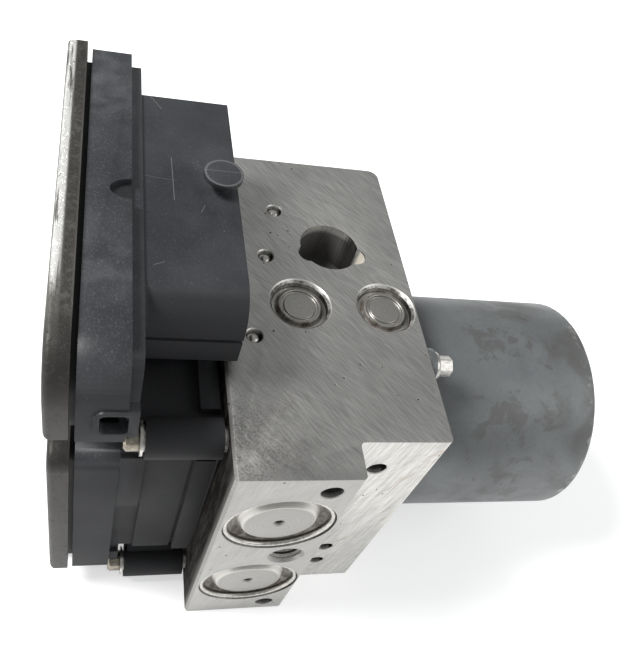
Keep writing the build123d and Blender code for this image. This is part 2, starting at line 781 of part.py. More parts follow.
with BuildPart() as armature_core:
    with BuildSketch(across_motor(core_x)):
        Circle(core_r)
        Circle(shaft_r + fit_gap, mode=Mode.SUBTRACT)
        with PolarLocations(core_r - slot_depth / 2, core_slots):
            SlotCenterToCenter(slot_depth - slot_width - slot_lip, slot_width, mode=Mode.SUBTRACT)
        with PolarLocations(core_r, core_slots):
            Rectangle(*slot_mouth, mode=Mode.SUBTRACT)
    extrude(amount=core_length)
write("armature_core", armature_core)

winding_r = core_r - winding_drop
winding_start = core_x - winding_head_gap - winding_head
with BuildPart() as armature_windings:
    for x in (winding_start, core_x + core_length + winding_head_gap):
        with BuildSketch(across_motor(x)):
            Circle(winding_r)
            Circle(winding_r - slot_depth + slot_lip, mode=Mode.SUBTRACT)
        extrude(amount=winding_head)
    with BuildSketch(across_motor(core_x - 2 * winding_head_gap)):
        with PolarLocations(core_r - slot_depth / 2, core_slots):
            SlotCenterToCenter(slot_depth - slot_width - slot_lip, slot_width - 2 * winding_gap)
    extrude(amount=core_length + 4 * winding_head_gap)
write("armature_windings", armature_windings)

with BuildPart() as commutator:
    with BuildSketch(across_motor(commutator_x)):
        Circle(commutator_r)
        Circle(shaft_r + fit_gap, mode=Mode.SUBTRACT)
        with PolarLocations(commutator_r, commutator_bars):
            Rectangle(*commutator_cut, mode=Mode.SUBTRACT)
    extrude(amount=commutator_length)
write("commutator", commutator)

with BuildPart() as front_bearing:
    with BuildSketch(across_motor(can_start)):
        Circle(bearing_r)
        Circle(shaft_r + running_gap, mode=Mode.SUBTRACT)
    extrude(amount=bearing_width)
write("front_bearing", front_bearing)

with BuildPart() as rear_bearing:
    with BuildSketch(across_motor(rear_bearing_x)):
        Circle(rear_bearing_r)
        Circle(shaft_r + running_gap, mode=Mode.SUBTRACT)
    extrude(amount=bearing_width - fit_gap)
write("rear_bearing", rear_bearing)

with BuildPart() as eccentric_ring:
    with BuildSketch(journal_centre.offset(-ring_width / 2)):
        Circle(ring_outer_r)
        Circle(ring_inner_r, mode=Mode.SUBTRACT)
    extrude(amount=ring_width)
write("eccentric_ring", eccentric_ring)

with BuildPart() as needle_rollers:
    with BuildSketch(journal_centre.offset(-ring_width / 2 + roller_end_gap)):
        with PolarLocations(needle_ring_r, needle_count):
            Circle(needle_r)
    extrude(amount=ring_width - 2 * roller_end_gap)
write("needle_rollers", needle_rollers)

with BuildPart() as brush_holder:
    with BuildSketch(across_motor(holder_x)):
        Circle(motor_r - can_wall - fit_gap)
        Circle(commutator_r + holder_hole_gap, mode=Mode.SUBTRACT)
        with Locations((contact_y - motor_y, contact_z - motor_z)):
            Circle(contact_r + screw_play, mode=Mode.SUBTRACT)
    extrude(amount=holder_thickness)
    with BuildSketch(across_motor(holder_x + holder_thickness)):
        with PolarLocations(commutator_r + brush_case_start + brush_length / 2, 2, start_angle=90):
            Rectangle(brush_length + brush_case[0], brush_width + brush_case[1])
            Rectangle(brush_length + brush_case_open, brush_width + 2 * fit_gap, mode=Mode.SUBTRACT)
    extrude(amount=brush_width)
write("brush_holder", brush_holder)

with BuildPart() as brushes:
    with BuildSketch(across_motor(holder_x + holder_thickness + fit_gap)):
        with PolarLocations(commutator_r + brush_start + brush_length / 2, 2, start_angle=90):
            Rectangle(brush_length, brush_width)
        Circle(commutator_r + running_gap, mode=Mode.SUBTRACT)
    extrude(amount=brush_width)
write("brushes", brushes)

with BuildPart() as motor_screws:
    for place in ear_places:
        turn(place, [
            (0, -motor_screw_length), (motor_screw_r, -motor_screw_length), (motor_screw_r, 0),
            (screw_flange_r, 0), (screw_flange_r - screw_flange_bevel, screw_flange), (0, screw_flange),
        ])
        with BuildSketch(place.offset(screw_flange)):
            RegularPolygon(screw_head_r, 6)
        extrude(amount=screw_head)
        with BuildSketch(place.offset(screw_flange + screw_head)):
            RegularPolygon(screw_socket_r, 6)
        extrude(amount=-screw_socket, mode=Mode.SUBTRACT)
write("motor_screws", motor_screws)

with BuildPart() as motor_contact:
    with BuildSketch(Plane.YZ.offset(pin_start)):
        with Locations((contact_y, contact_z)):
            Circle(contact_r)
    extrude(amount=holder_x + holder_thickness - pin_start)
write("motor_contact", motor_contact)


# ---- controller: outlines shared by the frame, the lid and the board
def corner_at(outline, y, z):
    """The outline's vertex nearest to a point of its own plane."""
    return outline.vertices().sort_by_distance((y, z, 0))[0]


def frame_outline(x, grow, low_grow, rear_grow, step_rise, top_round):
    """Controller outline seen along X, with its stepped lower side and its screw access openings."""
    low_front = frame_low_front - low_grow
    with BuildSketch(Plane.YZ.offset(x)) as outline:
        with BuildLine():
            Polyline(
                (frame_top + grow, frame_front + grow), (low_front, frame_front + grow),
                (low_front, frame_step_z + step_rise), (frame_low_rear - low_grow, frame_step_z + step_rise),
                (frame_low_rear - low_grow, frame_rear - rear_grow),
                (frame_top + grow, frame_rear - rear_grow), close=True,
            )
        make_face()
        fillet(corner_at(outline, low_front, frame_front + grow), frame_round + grow)
        fillet(corner_at(outline, frame_top + grow, frame_front + grow), top_round)
        fillet(corner_at(outline, frame_top + grow, frame_rear - rear_grow), frame_rear_round)
        with Locations(screw_posts[0]):
            Circle(access_r, mode=Mode.SUBTRACT)
        with Locations(*screw_posts[1:]):
            Circle(rear_access_r, mode=Mode.SUBTRACT)
        reach = math.sqrt(access_r**2 - (screw_posts[0][0] - frame_low_rear + low_grow) ** 2)
        fillet(corner_at(outline, frame_low_rear - low_grow, screw_posts[0][1] - reach), access_round)
    return outline


def inset(outline, amount, x):
    """The same outline drawn smaller by an even margin, on a plane at another x."""
    with BuildSketch(Plane.YZ.offset(x)) as smaller:
        add(outline.sketch_local)
        offset(amount=-amount, kind=Kind.INTERSECTION, mode=Mode.REPLACE)
    return smaller


def room_outline(x):
    """Outline of the valve room: a box with one corner cut off beside a screw post."""
    with BuildSketch(Plane.YZ.offset(x)) as outline:
        with BuildLine():
            Polyline(
                (room_top, room_front), (room_low, room_front), (room_low, room_rear + room_cut),
                (room_low + room_cut, room_rear), (room_top, room_rear), close=True,
            )
        make_face()
    return outline


pin_y = [shroud_low + pin_margin + column * pin_pitch for column in range(pin_columns)]
pin_mid_z = (shroud_front + shroud_rear) / 2
blade_wide, blade_tall = blade_size
pin_z = [pin_mid_z + (row - (pin_rows - 1) / 2) * pin_row_pitch for row in range(pin_rows)]
blade_y = [pin_y[-1] + blade_gap, pin_y[-1] + blade_gap + blade_pitch]
signal_pins = [(y, z) for y in pin_y for z in pin_z]
power_blades = [(y, pin_mid_z + side * blade_row_pitch / 2) for y in blade_y for side in (-1, 1)]
coil_pins = [
    (place.origin.Y + coil_pin_offset, place.origin.Z + side * coil_pin_spread / 2)
    for place in valve_seats for side in (-1, 1)
]
frame_edge = frame_outline(frame_x, 0, 0, 0, 0, frame_top_round)
room_edge = room_outline(floor_x)

# ---- controller housing: one moulding with its tray, valve room, connector shroud and lock stud
with BuildPart() as controller_housing:
    extrude(frame_edge.sketch, amount=frame_depth)
    cavity = inset(frame_edge, shell_wall, frame_x)
    extrude(cavity.sketch, amount=frame_depth - frame_floor, mode=Mode.SUBTRACT)
    with BuildSketch(Plane.YZ.offset(tray_x)) as tray:
        with BuildLine():
            Polyline(
                (frame_top - tray_inset, frame_front - tray_inset), (room_low, frame_front - tray_inset),
                (room_low, frame_rear + tray_inset), (frame_top - tray_inset, frame_rear + tray_inset),
                close=True,
            )
        make_face()
        fillet(corner_at(tray, room_low, frame_front - tray_inset), tray_round)
        with Locations(screw_posts[0]):
            Circle(access_r, mode=Mode.SUBTRACT)
        with Locations(*screw_posts[1:]):
            Circle(rear_access_r, mode=Mode.SUBTRACT)
    extrude(amount=floor_thickness)
    # valve room, with a raised mounting rim along its lower and front sides
    extrude(room_edge.sketch, amount=valve_room_depth)
    with Locations((rim_x, room_low, room_rear + room_cut)):
        Box(rim_width, rim_height, rim_length, align=(Align.MAX, Align.MAX, Align.MIN))
    rim_front_length = room_top - room_low - rim_front_start - rim_front_end
    with Locations((rim_x, room_low + rim_front_start, room_front)):
        Box(rim_width, rim_front_length, rim_front_height, align=(Align.MAX, Align.MIN, Align.MIN))
    with Locations((rim_x - rim_width, room_low, room_rear + room_cut)):
        Box(*rim_groove, rim_length, align=(Align.MAX, Align.MIN, Align.MIN), mode=Mode.SUBTRACT)
    room = inset(room_edge, shell_wall, floor_x)
    extrude(room.sketch, amount=valve_room_depth, mode=Mode.SUBTRACT)
    # raised pad and shallow pocket where the valve room meets the tray
    with Locations((tray_x, room_low, pad_start)):
        Box(floor_thickness + pad_width, pad_height, pad_length, align=(Align.MIN, Align.MAX, Align.MIN))
    step_width = floor_thickness + pad_width + step_past_pad
    with Locations((tray_x, room_low, step_start)):
        Box(step_width, step_depth, step_length, align=(Align.MIN, Align.MIN, Align.MIN), mode=Mode.SUBTRACT)
    # screw posts
    with BuildSketch(Plane.YZ.offset(rim_x)):
        with Locations(*screw_posts):
            Circle(post_r)
    extrude(amount=-(valve_room_depth - shell_wall))
    with BuildSketch(Plane.YZ.offset(rim_x - web_start)):
        with Locations(screw_posts[1]):
            Circle(web_r)
        with Locations((screw_posts[1][0] + web_run, screw_posts[1][1] + web_run)):
            Circle(web_r)
        make_hull()
    extrude(amount=-(valve_room_depth - web_end))
    with BuildSketch(Plane.YZ.offset(rim_x)):
        with Locations(*screw_posts):
            Circle(bush_r + fit_gap)
    extrude(amount=-(valve_room_depth - shell_wall), mode=Mode.SUBTRACT)
    with BuildSketch(Plane.YZ.offset(floor_x)):
        with Locations(*screw_posts):
            Circle(washer_r + screw_play)
    extrude(amount=shell_wall, mode=Mode.SUBTRACT)
    # connector shroud with a shallow groove along its lower side
    with BuildSketch(Plane.YZ.offset(floor_x)) as shroud_edge:
        with Locations(((shroud_top + shroud_low) / 2, (shroud_front + shroud_rear) / 2)):
            Rectangle(shroud_top - shroud_low, shroud_front - shroud_rear)
        fillet(corner_at(shroud_edge, shroud_low, shroud_front), shroud_round)
        fillet(corner_at(shroud_edge, shroud_low, shroud_rear), shroud_small_round)
        fillet(corner_at(shroud_edge, shroud_top, shroud_front), shroud_edge_round)
        fillet(corner_at(shroud_edge, shroud_top, shroud_rear), shroud_small_round)
    extrude(amount=shroud_mouth)
    with Locations((floor_x, shroud_low, shroud_groove_z)):
        groove_align = (Align.MIN, Align.MIN, Align.CENTER)
        Box(shroud_mouth, shroud_groove, shroud_groove, align=groove_align, mode=Mode.SUBTRACT)
    shroud_room = inset(shroud_edge, shroud_wall, floor_x)
    extrude(shroud_room.sketch, amount=shroud_mouth, mode=Mode.SUBTRACT)
    # lock stud on the shroud's front
    with BuildSketch(Plane.XY.offset(shroud_front)):
        with Locations((stud_x, stud_y)):
            Circle(stud_neck_r)
    extrude(amount=stud_height - stud_head)
    with BuildSketch(Plane.XY.offset(shroud_front + stud_height - stud_head)):
        with Locations((stud_x, stud_y)):
            Circle(stud_head_r)
    extrude(amount=stud_head)
    # half-round recess on the front edge and the vent slot with its raised rim
    with BuildSketch(Plane.XY.offset(frame_front)):
        with Locations((tray_x, recess_y)):
            Ellipse(recess_reach, recess_half)
    extrude(amount=-recess_depth, mode=Mode.SUBTRACT)
    slot_wide, slot_tall = slot_size
    rim_left = slot_x - slot_wide / 2 - slot_rim_width
    rim_tall = slot_tall + 2 * slot_rim_width
    with BuildSketch(Plane.XZ.offset(slot_rim - frame_low_front)) as slot_edge:
        with Locations((rim_left, slot_z)):
            Rectangle(slot_rim_end - rim_left, rim_tall, align=(Align.MIN, Align.CENTER))
        fillet(slot_edge.vertices().group_by(Axis.X)[0], slot_rim_round)
    extrude(amount=-slot_rim - shell_wall)
    with BuildSketch(Plane.XZ.offset(slot_rim - frame_low_front)):
        with Locations((slot_x, slot_z)):
            RectangleRounded(slot_wide, slot_tall, slot_round)
    extrude(amount=-slot_rim - 2 * shell_wall, mode=Mode.SUBTRACT)
    # posts under the board, and holes for the pins that pass the tray floor
    with BuildSketch(Plane.YZ.offset(tray_floor_x)):
        with Locations(*board_posts):
            Circle(board_post_r)
    extrude(amount=-board_post)
    with BuildSketch(Plane.YZ.offset(tray_floor_x)):
        with Locations(*coil_pins):
            Rectangle(coil_pin + 2 * pin_hole_gap, coil_pin + 2 * pin_hole_gap)
        with Locations(*signal_pins):
            Rectangle(pin_size + 2 * fit_gap, pin_size + 2 * fit_gap)
        with Locations(*power_blades):
            Rectangle(blade_wide + 2 * fit_gap, blade_tall + 2 * fit_gap)
        with Locations((contact_y, contact_z)):
            Circle(contact_r + screw_play)
    extrude(amount=frame_floor + floor_thickness, mode=Mode.SUBTRACT)
write("controller_housing", controller_housing)

# ---- lid: a shallow dished aluminium cover with a spigot that sits inside the frame
lid_rear_overhang = lid_overhang + lid_rear_margin
lid_edge = frame_outline(lid_x, lid_overhang, lid_low_margin, lid_rear_overhang, lid_step_rise, lid_top_round)
with BuildPart() as controller_lid:
    extrude(lid_edge.sketch, amount=-lid_depth)
    fillet(controller_lid.faces().sort_by(Axis.X)[0].outer_wire().edges(), lid_round)
    lid_room = inset(lid_edge, lid_wall + lid_overhang, lid_x)
    extrude(lid_room.sketch, amount=-(lid_depth - lid_wall), mode=Mode.SUBTRACT)
    with BuildSketch(Plane.YZ.offset(lid_x)):
        add(inset(frame_edge, shell_wall + lid_spigot_gap, lid_x).sketch_local)
        inner_edge = inset(frame_edge, shell_wall + lid_spigot_gap + lid_spigot_wall, lid_x)
        add(inner_edge.sketch_local, mode=Mode.SUBTRACT)
    extrude(amount=lid_spigot)
write("controller_lid", controller_lid)

# ---- circuit board with its soldered parts
with BuildPart() as circuit_board:
    with BuildSketch(Plane.YZ.offset(board_x)):
        add(inset(frame_edge, shell_wall + board_margin, board_x).sketch_local)
        with Locations(*coil_pins):
            Rectangle(coil_pin + 2 * pin_hole_gap, coil_pin + 2 * pin_hole_gap, mode=Mode.SUBTRACT)
        with Locations(*signal_pins):
            Rectangle(pin_size + 2 * pin_hole_gap, pin_size + 2 * pin_hole_gap, mode=Mode.SUBTRACT)
        with Locations(*power_blades):
            Rectangle(blade_wide + 2 * pin_hole_gap, blade_tall + 2 * pin_hole_gap, mode=Mode.SUBTRACT)
        with Locations((contact_y, contact_z)):
            Circle(contact_r + pin_hole_gap, mode=Mode.SUBTRACT)
    extrude(amount=-board_thickness)
    for y, z, wide, tall, thick in chips:
        with Locations((board_x - board_thickness, y, z)):
            Box(thick, wide, tall, align=(Align.MAX, Align.CENTER, Align.CENTER))
    for y, z, radius, tall in capacitors:
        with Locations(Plane((board_x - board_thickness, y, z), z_dir=OUT_CONTROLLER)):
            Cylinder(radius, tall, align=(Align.CENTER, Align.CENTER, Align.MIN))
write("circuit_board", circuit_board)

# ---- connector pins, moulded through the tray floor and soldered to the board
with BuildPart() as connector_pins:
    with BuildSketch(Plane.YZ.offset(pin_start)):
        with Locations(*signal_pins):
            Rectangle(pin_size, pin_size)
        with Locations(*power_blades):
            Rectangle(*blade_size)
    extrude(amount=floor_x + pin_reach - pin_start)
write("connector_pins", connector_pins)

# ---- seal between the valve room's rim and the block
with BuildPart() as housing_seal:
    with BuildSketch(Plane.YZ.offset(rim_x)) as seal_edge:
        add(inset(room_edge, seal_inset, rim_x).sketch_local)
        with Locations(*screw_posts):
            Circle(post_r + seal_post_gap, mode=Mode.SUBTRACT)
    extrude(seal_edge.sketch, amount=seal_thickness)
    extrude(inset(seal_edge, seal_width, rim_x).sketch, amount=seal_thickness, mode=Mode.SUBTRACT)
write("housing_seal", housing_seal)

# ---- compression bushes, screws and washers that hold the controller on the block
bush_length = seal_thickness + valve_room_depth - shell_wall + bush_proud
turned("controller_bushes", screw_places, [
    (bush_r - bush_wall, 0), (bush_r, 0), (bush_r, bush_length), (bush_r - bush_wall, bush_length),
])
turned("washers", screw_places, [
    (controller_screw_r + screw_play, bush_length), (washer_r, bush_length),
    (washer_r, bush_length + washer), (controller_screw_r + screw_play, bush_length + washer),
])
with BuildPart() as controller_screws:
    head_start = bush_length + washer
    head_end = head_start + controller_screw_head
    screw_tip = head_start - controller_screw_length
    for place in screw_places:
        turn(place, [
            (0, screw_tip), (controller_screw_r, screw_tip), (controller_screw_r, head_start),
            (controller_screw_head_r, head_start),
            (controller_screw_head_r, head_end - controller_screw_bevel),
            (controller_screw_head_r - controller_screw_bevel, head_end), (0, head_end),
        ])
        with BuildSketch(place.offset(head_end)):
            RegularPolygon(controller_drive_r, 6)
        extrude(amount=-controller_drive, mode=Mode.SUBTRACT)
write("controller_screws", controller_screws)
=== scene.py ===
import json
import math

import bmesh
import bpy
from bpy.props import FloatProperty, FloatVectorProperty, PointerProperty
from mathutils import Matrix, Vector

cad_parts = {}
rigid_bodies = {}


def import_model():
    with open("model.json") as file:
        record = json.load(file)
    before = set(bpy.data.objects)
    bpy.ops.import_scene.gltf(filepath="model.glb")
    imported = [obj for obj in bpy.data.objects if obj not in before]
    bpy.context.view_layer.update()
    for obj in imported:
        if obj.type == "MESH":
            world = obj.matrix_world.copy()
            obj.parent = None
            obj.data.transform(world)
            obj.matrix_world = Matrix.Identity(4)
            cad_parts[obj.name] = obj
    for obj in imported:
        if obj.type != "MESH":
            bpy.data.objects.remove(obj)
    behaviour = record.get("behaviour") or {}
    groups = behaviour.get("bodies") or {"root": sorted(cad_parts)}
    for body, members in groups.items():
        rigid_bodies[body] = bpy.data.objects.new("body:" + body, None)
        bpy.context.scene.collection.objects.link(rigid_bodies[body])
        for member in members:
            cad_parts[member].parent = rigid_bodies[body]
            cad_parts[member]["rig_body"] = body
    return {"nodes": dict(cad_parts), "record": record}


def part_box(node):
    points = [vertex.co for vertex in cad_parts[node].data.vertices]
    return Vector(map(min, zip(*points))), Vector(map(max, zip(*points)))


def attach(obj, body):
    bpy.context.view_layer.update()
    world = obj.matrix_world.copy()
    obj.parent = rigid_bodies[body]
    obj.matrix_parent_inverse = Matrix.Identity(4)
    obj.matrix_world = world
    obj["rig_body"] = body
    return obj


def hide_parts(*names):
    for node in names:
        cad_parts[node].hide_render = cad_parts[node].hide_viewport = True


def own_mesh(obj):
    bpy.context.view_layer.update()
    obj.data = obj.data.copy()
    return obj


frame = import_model()

bl_info = {
    "name": "Brake module dressing",
    "version": (1, 0, 0),
    "blender": (4, 5, 0),
    "location": "3D View > Sidebar > Brake module",
    "description": "Finishes and trim for an anti-lock brake module",
    "category": "Object",
}

MM = 0.001
PER_METRE = 1000.0
BLOCK_FRONT = 73.2                                  # z of the block's front face
PLUG_CENTRES = [(15.2, -2.15), (-4.6, -2.15)]       # x, y of the pump and damper plugs
LID_UNDERSIDE = -51.3 * MM
COVER_CENTRES = [(-9.7, 52.7), (-9.7, 19.2)]        # x, z of the accumulator covers
SIDE_HOLES = [                                      # y of the face, then x, z, radius of its drillings
    (-44.15, [(-2.8, 67.7, 2.45), (-2.8, 4.4, 2.4), (-4.45, 35.94, 3.6)]),
    (-36.25, [(9.8, 62.0, 2.28), (10.5, 19.8, 2.13), (10.6, 10.8, 2.06)]),
]
FRONT_POCKET = ((4.8, 15.4), 7.2)                   # x, y and radius of its dark inside
# the pocket's bright end is given a painted highlight
POCKET_FACET = ((12.4, 13.1), 1.9)                  # x, y and radius of its bright end
RECESS = ((-41.9, 4.9), (4.1, 2.7))                 # x, y of the front strip's recess and its half sizes
RECESS_FLOOR = 94.0
STUD = (-24.2, 11.0)                                # x, y of the lock stud
STUD_TOP = 96.0
SCRATCHES = [                                       # x, y of both ends on the front strip, strength
    ((-33.96, 18.26), (-33.73, 5.78), 0.9), ((-38.09, 38.07), (-35.53, 33.75), 0.8),
    ((-39.53, 12.08), (-33.10, 11.35), 0.35), ((-28.64, 2.97), (-27.88, 4.97), 0.7),
    ((-37.99, -11.33), (-36.12, -10.52), 0.7),
]
SENSOR = 36.0                                       # millimetres
FOCAL = 744.11 / 652.0                              # focal length as a share of the sensor
VIEW_SHIFT = (31.33 / 652.0, 9.36 / 652.0)
EYE_PLACE = (-0.04875, -0.10203, 0.19200)
EYE_AXES = (                                        # right, up and back
    (0.96544, -0.12350, 0.22950), (-0.04002, 0.79991, 0.59879), (-0.25753, -0.58728, 0.76732)
)
LAMPS = (                                           # name, direction, distance, size in metres, watts
    ("key", (-0.65, 0.12, 0.75), 1.1, 0.40, 16.0), ("fill", (0.75, -0.35, 0.56), 1.2, 0.9, 4.0)
)


# ---- user values


def colour(name, description, value):
    return FloatVectorProperty(
        name=name, description=description, default=value, subtype="COLOR", size=3, min=0.0, max=1.0
    )


class BrakeModuleColours(bpy.types.PropertyGroup):
    block: colour("Valve block", "Machined aluminium of the block's front", (0.43, 0.422, 0.405))
    block_side: colour("Block side", "Brighter aluminium of the block's long sides", (0.58, 0.57, 0.545))
    # the stain colour is also the base of the painted shade on the faces towards the controller
    block_stain_and_shade: colour("Block stain", "Brown dirt on the valve block", (0.13, 0.10, 0.07))
    plastic: colour("Housing", "Glass-filled plastic of the controller housing", (0.0180, 0.0190, 0.0220))
    plastic_scuff: colour("Housing scuff", "Whitish scuffs on the housing", (0.12, 0.123, 0.13))
    lid: colour("Lid", "Cast aluminium of the controller lid", (0.085, 0.080, 0.072))
    lid_worn: colour("Worn lid edge", "Polished metal on the lid's worn front edge", (0.82, 0.81, 0.78))
    motor: colour("Motor can", "Plated steel of the motor can", (0.136, 0.144, 0.147))
    motor_stain: colour("Motor stain", "Brown stains on the motor can", (0.076, 0.071, 0.063))
    steel: colour("Steel", "Turned and pressed steel pieces", (0.50, 0.485, 0.455))
    rust: colour("Rust", "Rust and old dirt in grooves", (0.070, 0.054, 0.042))
    yellow_plate: colour("Yellow plating", "Plated fasteners", (0.27, 0.245, 0.20))
    copper: colour("Copper", "Windings and commutator", (0.60, 0.25, 0.12))


class BrakeModuleSizes(bpy.types.PropertyGroup):
    edge_width: FloatProperty(
        name="Edge width", description="Width of the softened edges of machined and moulded pieces",
        default=0.25 * MM, min=0.05 * MM, max=0.8 * MM, unit="LENGTH", precision=5,
    )
    thread_pitch: FloatProperty(
        name="Thread pitch", description="Distance between thread ridges in the open holes",
        default=1.25 * MM, min=0.5 * MM, max=2.0 * MM, unit="LENGTH", precision=5,
    )
    thread_depth: FloatProperty(
        name="Thread depth", description="Height of the thread ridges over the hole's wall",
        default=0.42 * MM, min=0.1 * MM, max=1.0 * MM, unit="LENGTH", precision=5,
    )


def colours():
    return bpy.context.scene.brake_module_colours


def sizes():
    return bpy.context.scene.brake_module_sizes


# ---- shaders


class Value:
    """A shader socket on which plain arithmetic adds Math nodes."""

    def __init__(self, finish, socket):
        self.finish = finish
        self.socket = socket

    def maths(self, operation, *operands):
        return self.finish.node("ShaderNodeMath", {"operation": operation}, dict(enumerate(operands)))

    def __add__(self, other):
        return self.maths("ADD", self, other)

    def __radd__(self, other):
        return self.maths("ADD", other, self)

    def __sub__(self, other):
        return self.maths("SUBTRACT", self, other)

    def __rsub__(self, other):
        return self.maths("SUBTRACT", other, self)

    def __mul__(self, other):
        return self.maths("MULTIPLY", self, other)

    def __rmul__(self, other):
        return self.maths("MULTIPLY", other, self)

    def __pow__(self, other):
        return self.maths("POWER", self, other)

    def __abs__(self):
        return self.maths("ABSOLUTE", self)

    def at_least(self, other):
        return self.maths("MAXIMUM", self, other)

    def at_most(self, other):
        return self.maths("MINIMUM", self, other)

    def ramp(self, low, high):
        """0 below low, 1 above high, smooth between; low may be over high."""
        return self.finish.node(
            "ShaderNodeMapRange", {"interpolation_type": "SMOOTHSTEP"},
            {"Value": self, "From Min": low, "From Max": high, "To Min": 0.0, "To Max": 1.0},
        )


class Finish:
    """A node material of one Principled shader."""

    def __init__(self, name, metallic=0.0, roughness=0.5, coat=0.0):
        self.material = bpy.data.materials.new(name)
        self.material.use_nodes = True
        self.tree = self.material.node_tree
        self.tree.nodes.clear()
        self.shader = self.tree.nodes.new("ShaderNodeBsdfPrincipled")
        self.shader.inputs["Metallic"].default_value = metallic
        self.shader.inputs["Roughness"].default_value = roughness
        self.shader.inputs["Coat Weight"].default_value = coat
        output = self.tree.nodes.new("ShaderNodeOutputMaterial")
        self.tree.links.new(self.shader.outputs[0], output.inputs["Surface"])

    def feed(self, socket, value):
        if isinstance(value, Value):
            self.tree.links.new(value.socket, socket)
        elif hasattr(socket.default_value, "__len__"):
            length = len(socket.default_value)
            socket.default_value = (*value, 1.0)[:length]
        else:
            socket.default_value = value

    def node(self, kind, settings, sockets, output=0):
        made = self.tree.nodes.new(kind)
        for key, value in settings.items():
            if key == "stops":
                for stop, (place, shade) in zip(made.color_ramp.elements, value):
                    stop.position, stop.color = place, (*shade, 1.0)
            else:
                setattr(made, key, value)
        for key, value in sockets.items():
            self.feed(made.inputs[key], value)
        return Value(self, made.outputs[output])

    def place(self):
        """Object coordinates in metres."""
        return self.node("ShaderNodeTexCoord", {}, {}, "Object")

    def mapped(self, centre=(0, 0, 0), turn=(0, 0, 0), scale=(1, 1, 1)):
        return self.node(
            "ShaderNodeMapping", {"vector_type": "TEXTURE"},
            {"Vector": self.place(), "Location": centre, "Rotation": turn, "Scale": scale},
        )

    def parts(self, vector):
        first = self.node("ShaderNodeSeparateXYZ", {}, {"Vector": vector})
        return [Value(self, first.socket.node.outputs[axis]) for axis in range(3)]

    def millimetres(self):
        return [part * PER_METRE for part in self.parts(self.place())]

    def facing(self):
        """How squarely the surface faces along X, Y and Z, each from 0 to 1."""
        normal = self.node("ShaderNodeNewGeometry", {}, {}, "True Normal")
        return [abs(part) for part in self.parts(normal)]

    def toward(self):
        normal = self.node("ShaderNodeNewGeometry", {}, {}, "True Normal")
        return self.parts(normal)

    def noise(self, size, detail=3.0, rough=0.5, where=None, warp=0.0):
        """Noise of about that feature size in millimetres."""
        return self.node(
            "ShaderNodeTexNoise", {},
            {
                "Vector": where or self.place(), "Scale": 1.0 / (size * MM), "Detail": detail,
                "Roughness": rough, "Distortion": warp,
            },
        )

    def cells(self, size, where=None, feature="F1", output="Distance"):
        return self.node(
            "ShaderNodeTexVoronoi", {"feature": feature},
            {"Vector": where or self.place(), "Scale": 1.0 / (size * MM)}, output,
        )

    def distance(self, across, centre):
        """Distance in millimetres from a line: across names the two axes that are measured."""
        first, second = [self.parts(self.place())["XYZ".index(axis)] for axis in across]
        a = first * PER_METRE - centre[0]
        b = second * PER_METRE - centre[1]
        return (a * a + b * b) ** 0.5

    def inside(self, across, centre, radius):
        """1 within that radius of a line along the third axis, 0 outside, in millimetres."""
        return self.distance(across, centre).ramp(radius + 0.3, radius)

    def segment(self, first, second, start, end, width):
        """1 on a line from start to end in the plane of two coordinates, all in millimetres."""
        along = (end[0] - start[0], end[1] - start[1])
        square = along[0] ** 2 + along[1] ** 2
        a, b = first - start[0], second - start[1]
        share = ((a * along[0] + b * along[1]) * (1.0 / square)).at_least(0.0).at_most(1.0)
        a, b = a - share * along[0], b - share * along[1]
        return ((a * a + b * b) ** 0.5).ramp(width, width * 0.3)

    def mix(self, factor, first, second):
        return self.node("ShaderNodeMix", {"data_type": "RGBA"}, {0: factor, 6: first, 7: second}, 2)

    def base(self, value):
        self.feed(self.shader.inputs["Base Color"], value)

    def rough(self, value):
        self.feed(self.shader.inputs["Roughness"], value)

    def metal(self, value):
        self.feed(self.shader.inputs["Metallic"], value)

    def bump(self, height, depth, strength=1.0, under=None):
        """A bump of that depth in millimetres; under is another bump below it."""
        sockets = {"Height": height, "Distance": depth * MM, "Strength": strength}
        if under:
            sockets["Normal"] = under
        made = self.node("ShaderNodeBump", {}, sockets)
        self.feed_normal(made)
        return made

    def feed_normal(self, value):
        socket = self.shader.inputs["Normal"]
        for link in list(socket.links):
            self.tree.links.remove(link)
        self.tree.links.new(value.socket, socket)


def finish_named(name, make):
    """The material of that name, made the first time it is asked for."""
    return bpy.data.materials.get(name) or make(name).material


def tinted(value, factor):
    return tuple(min(1.0, part * factor) for part in value)


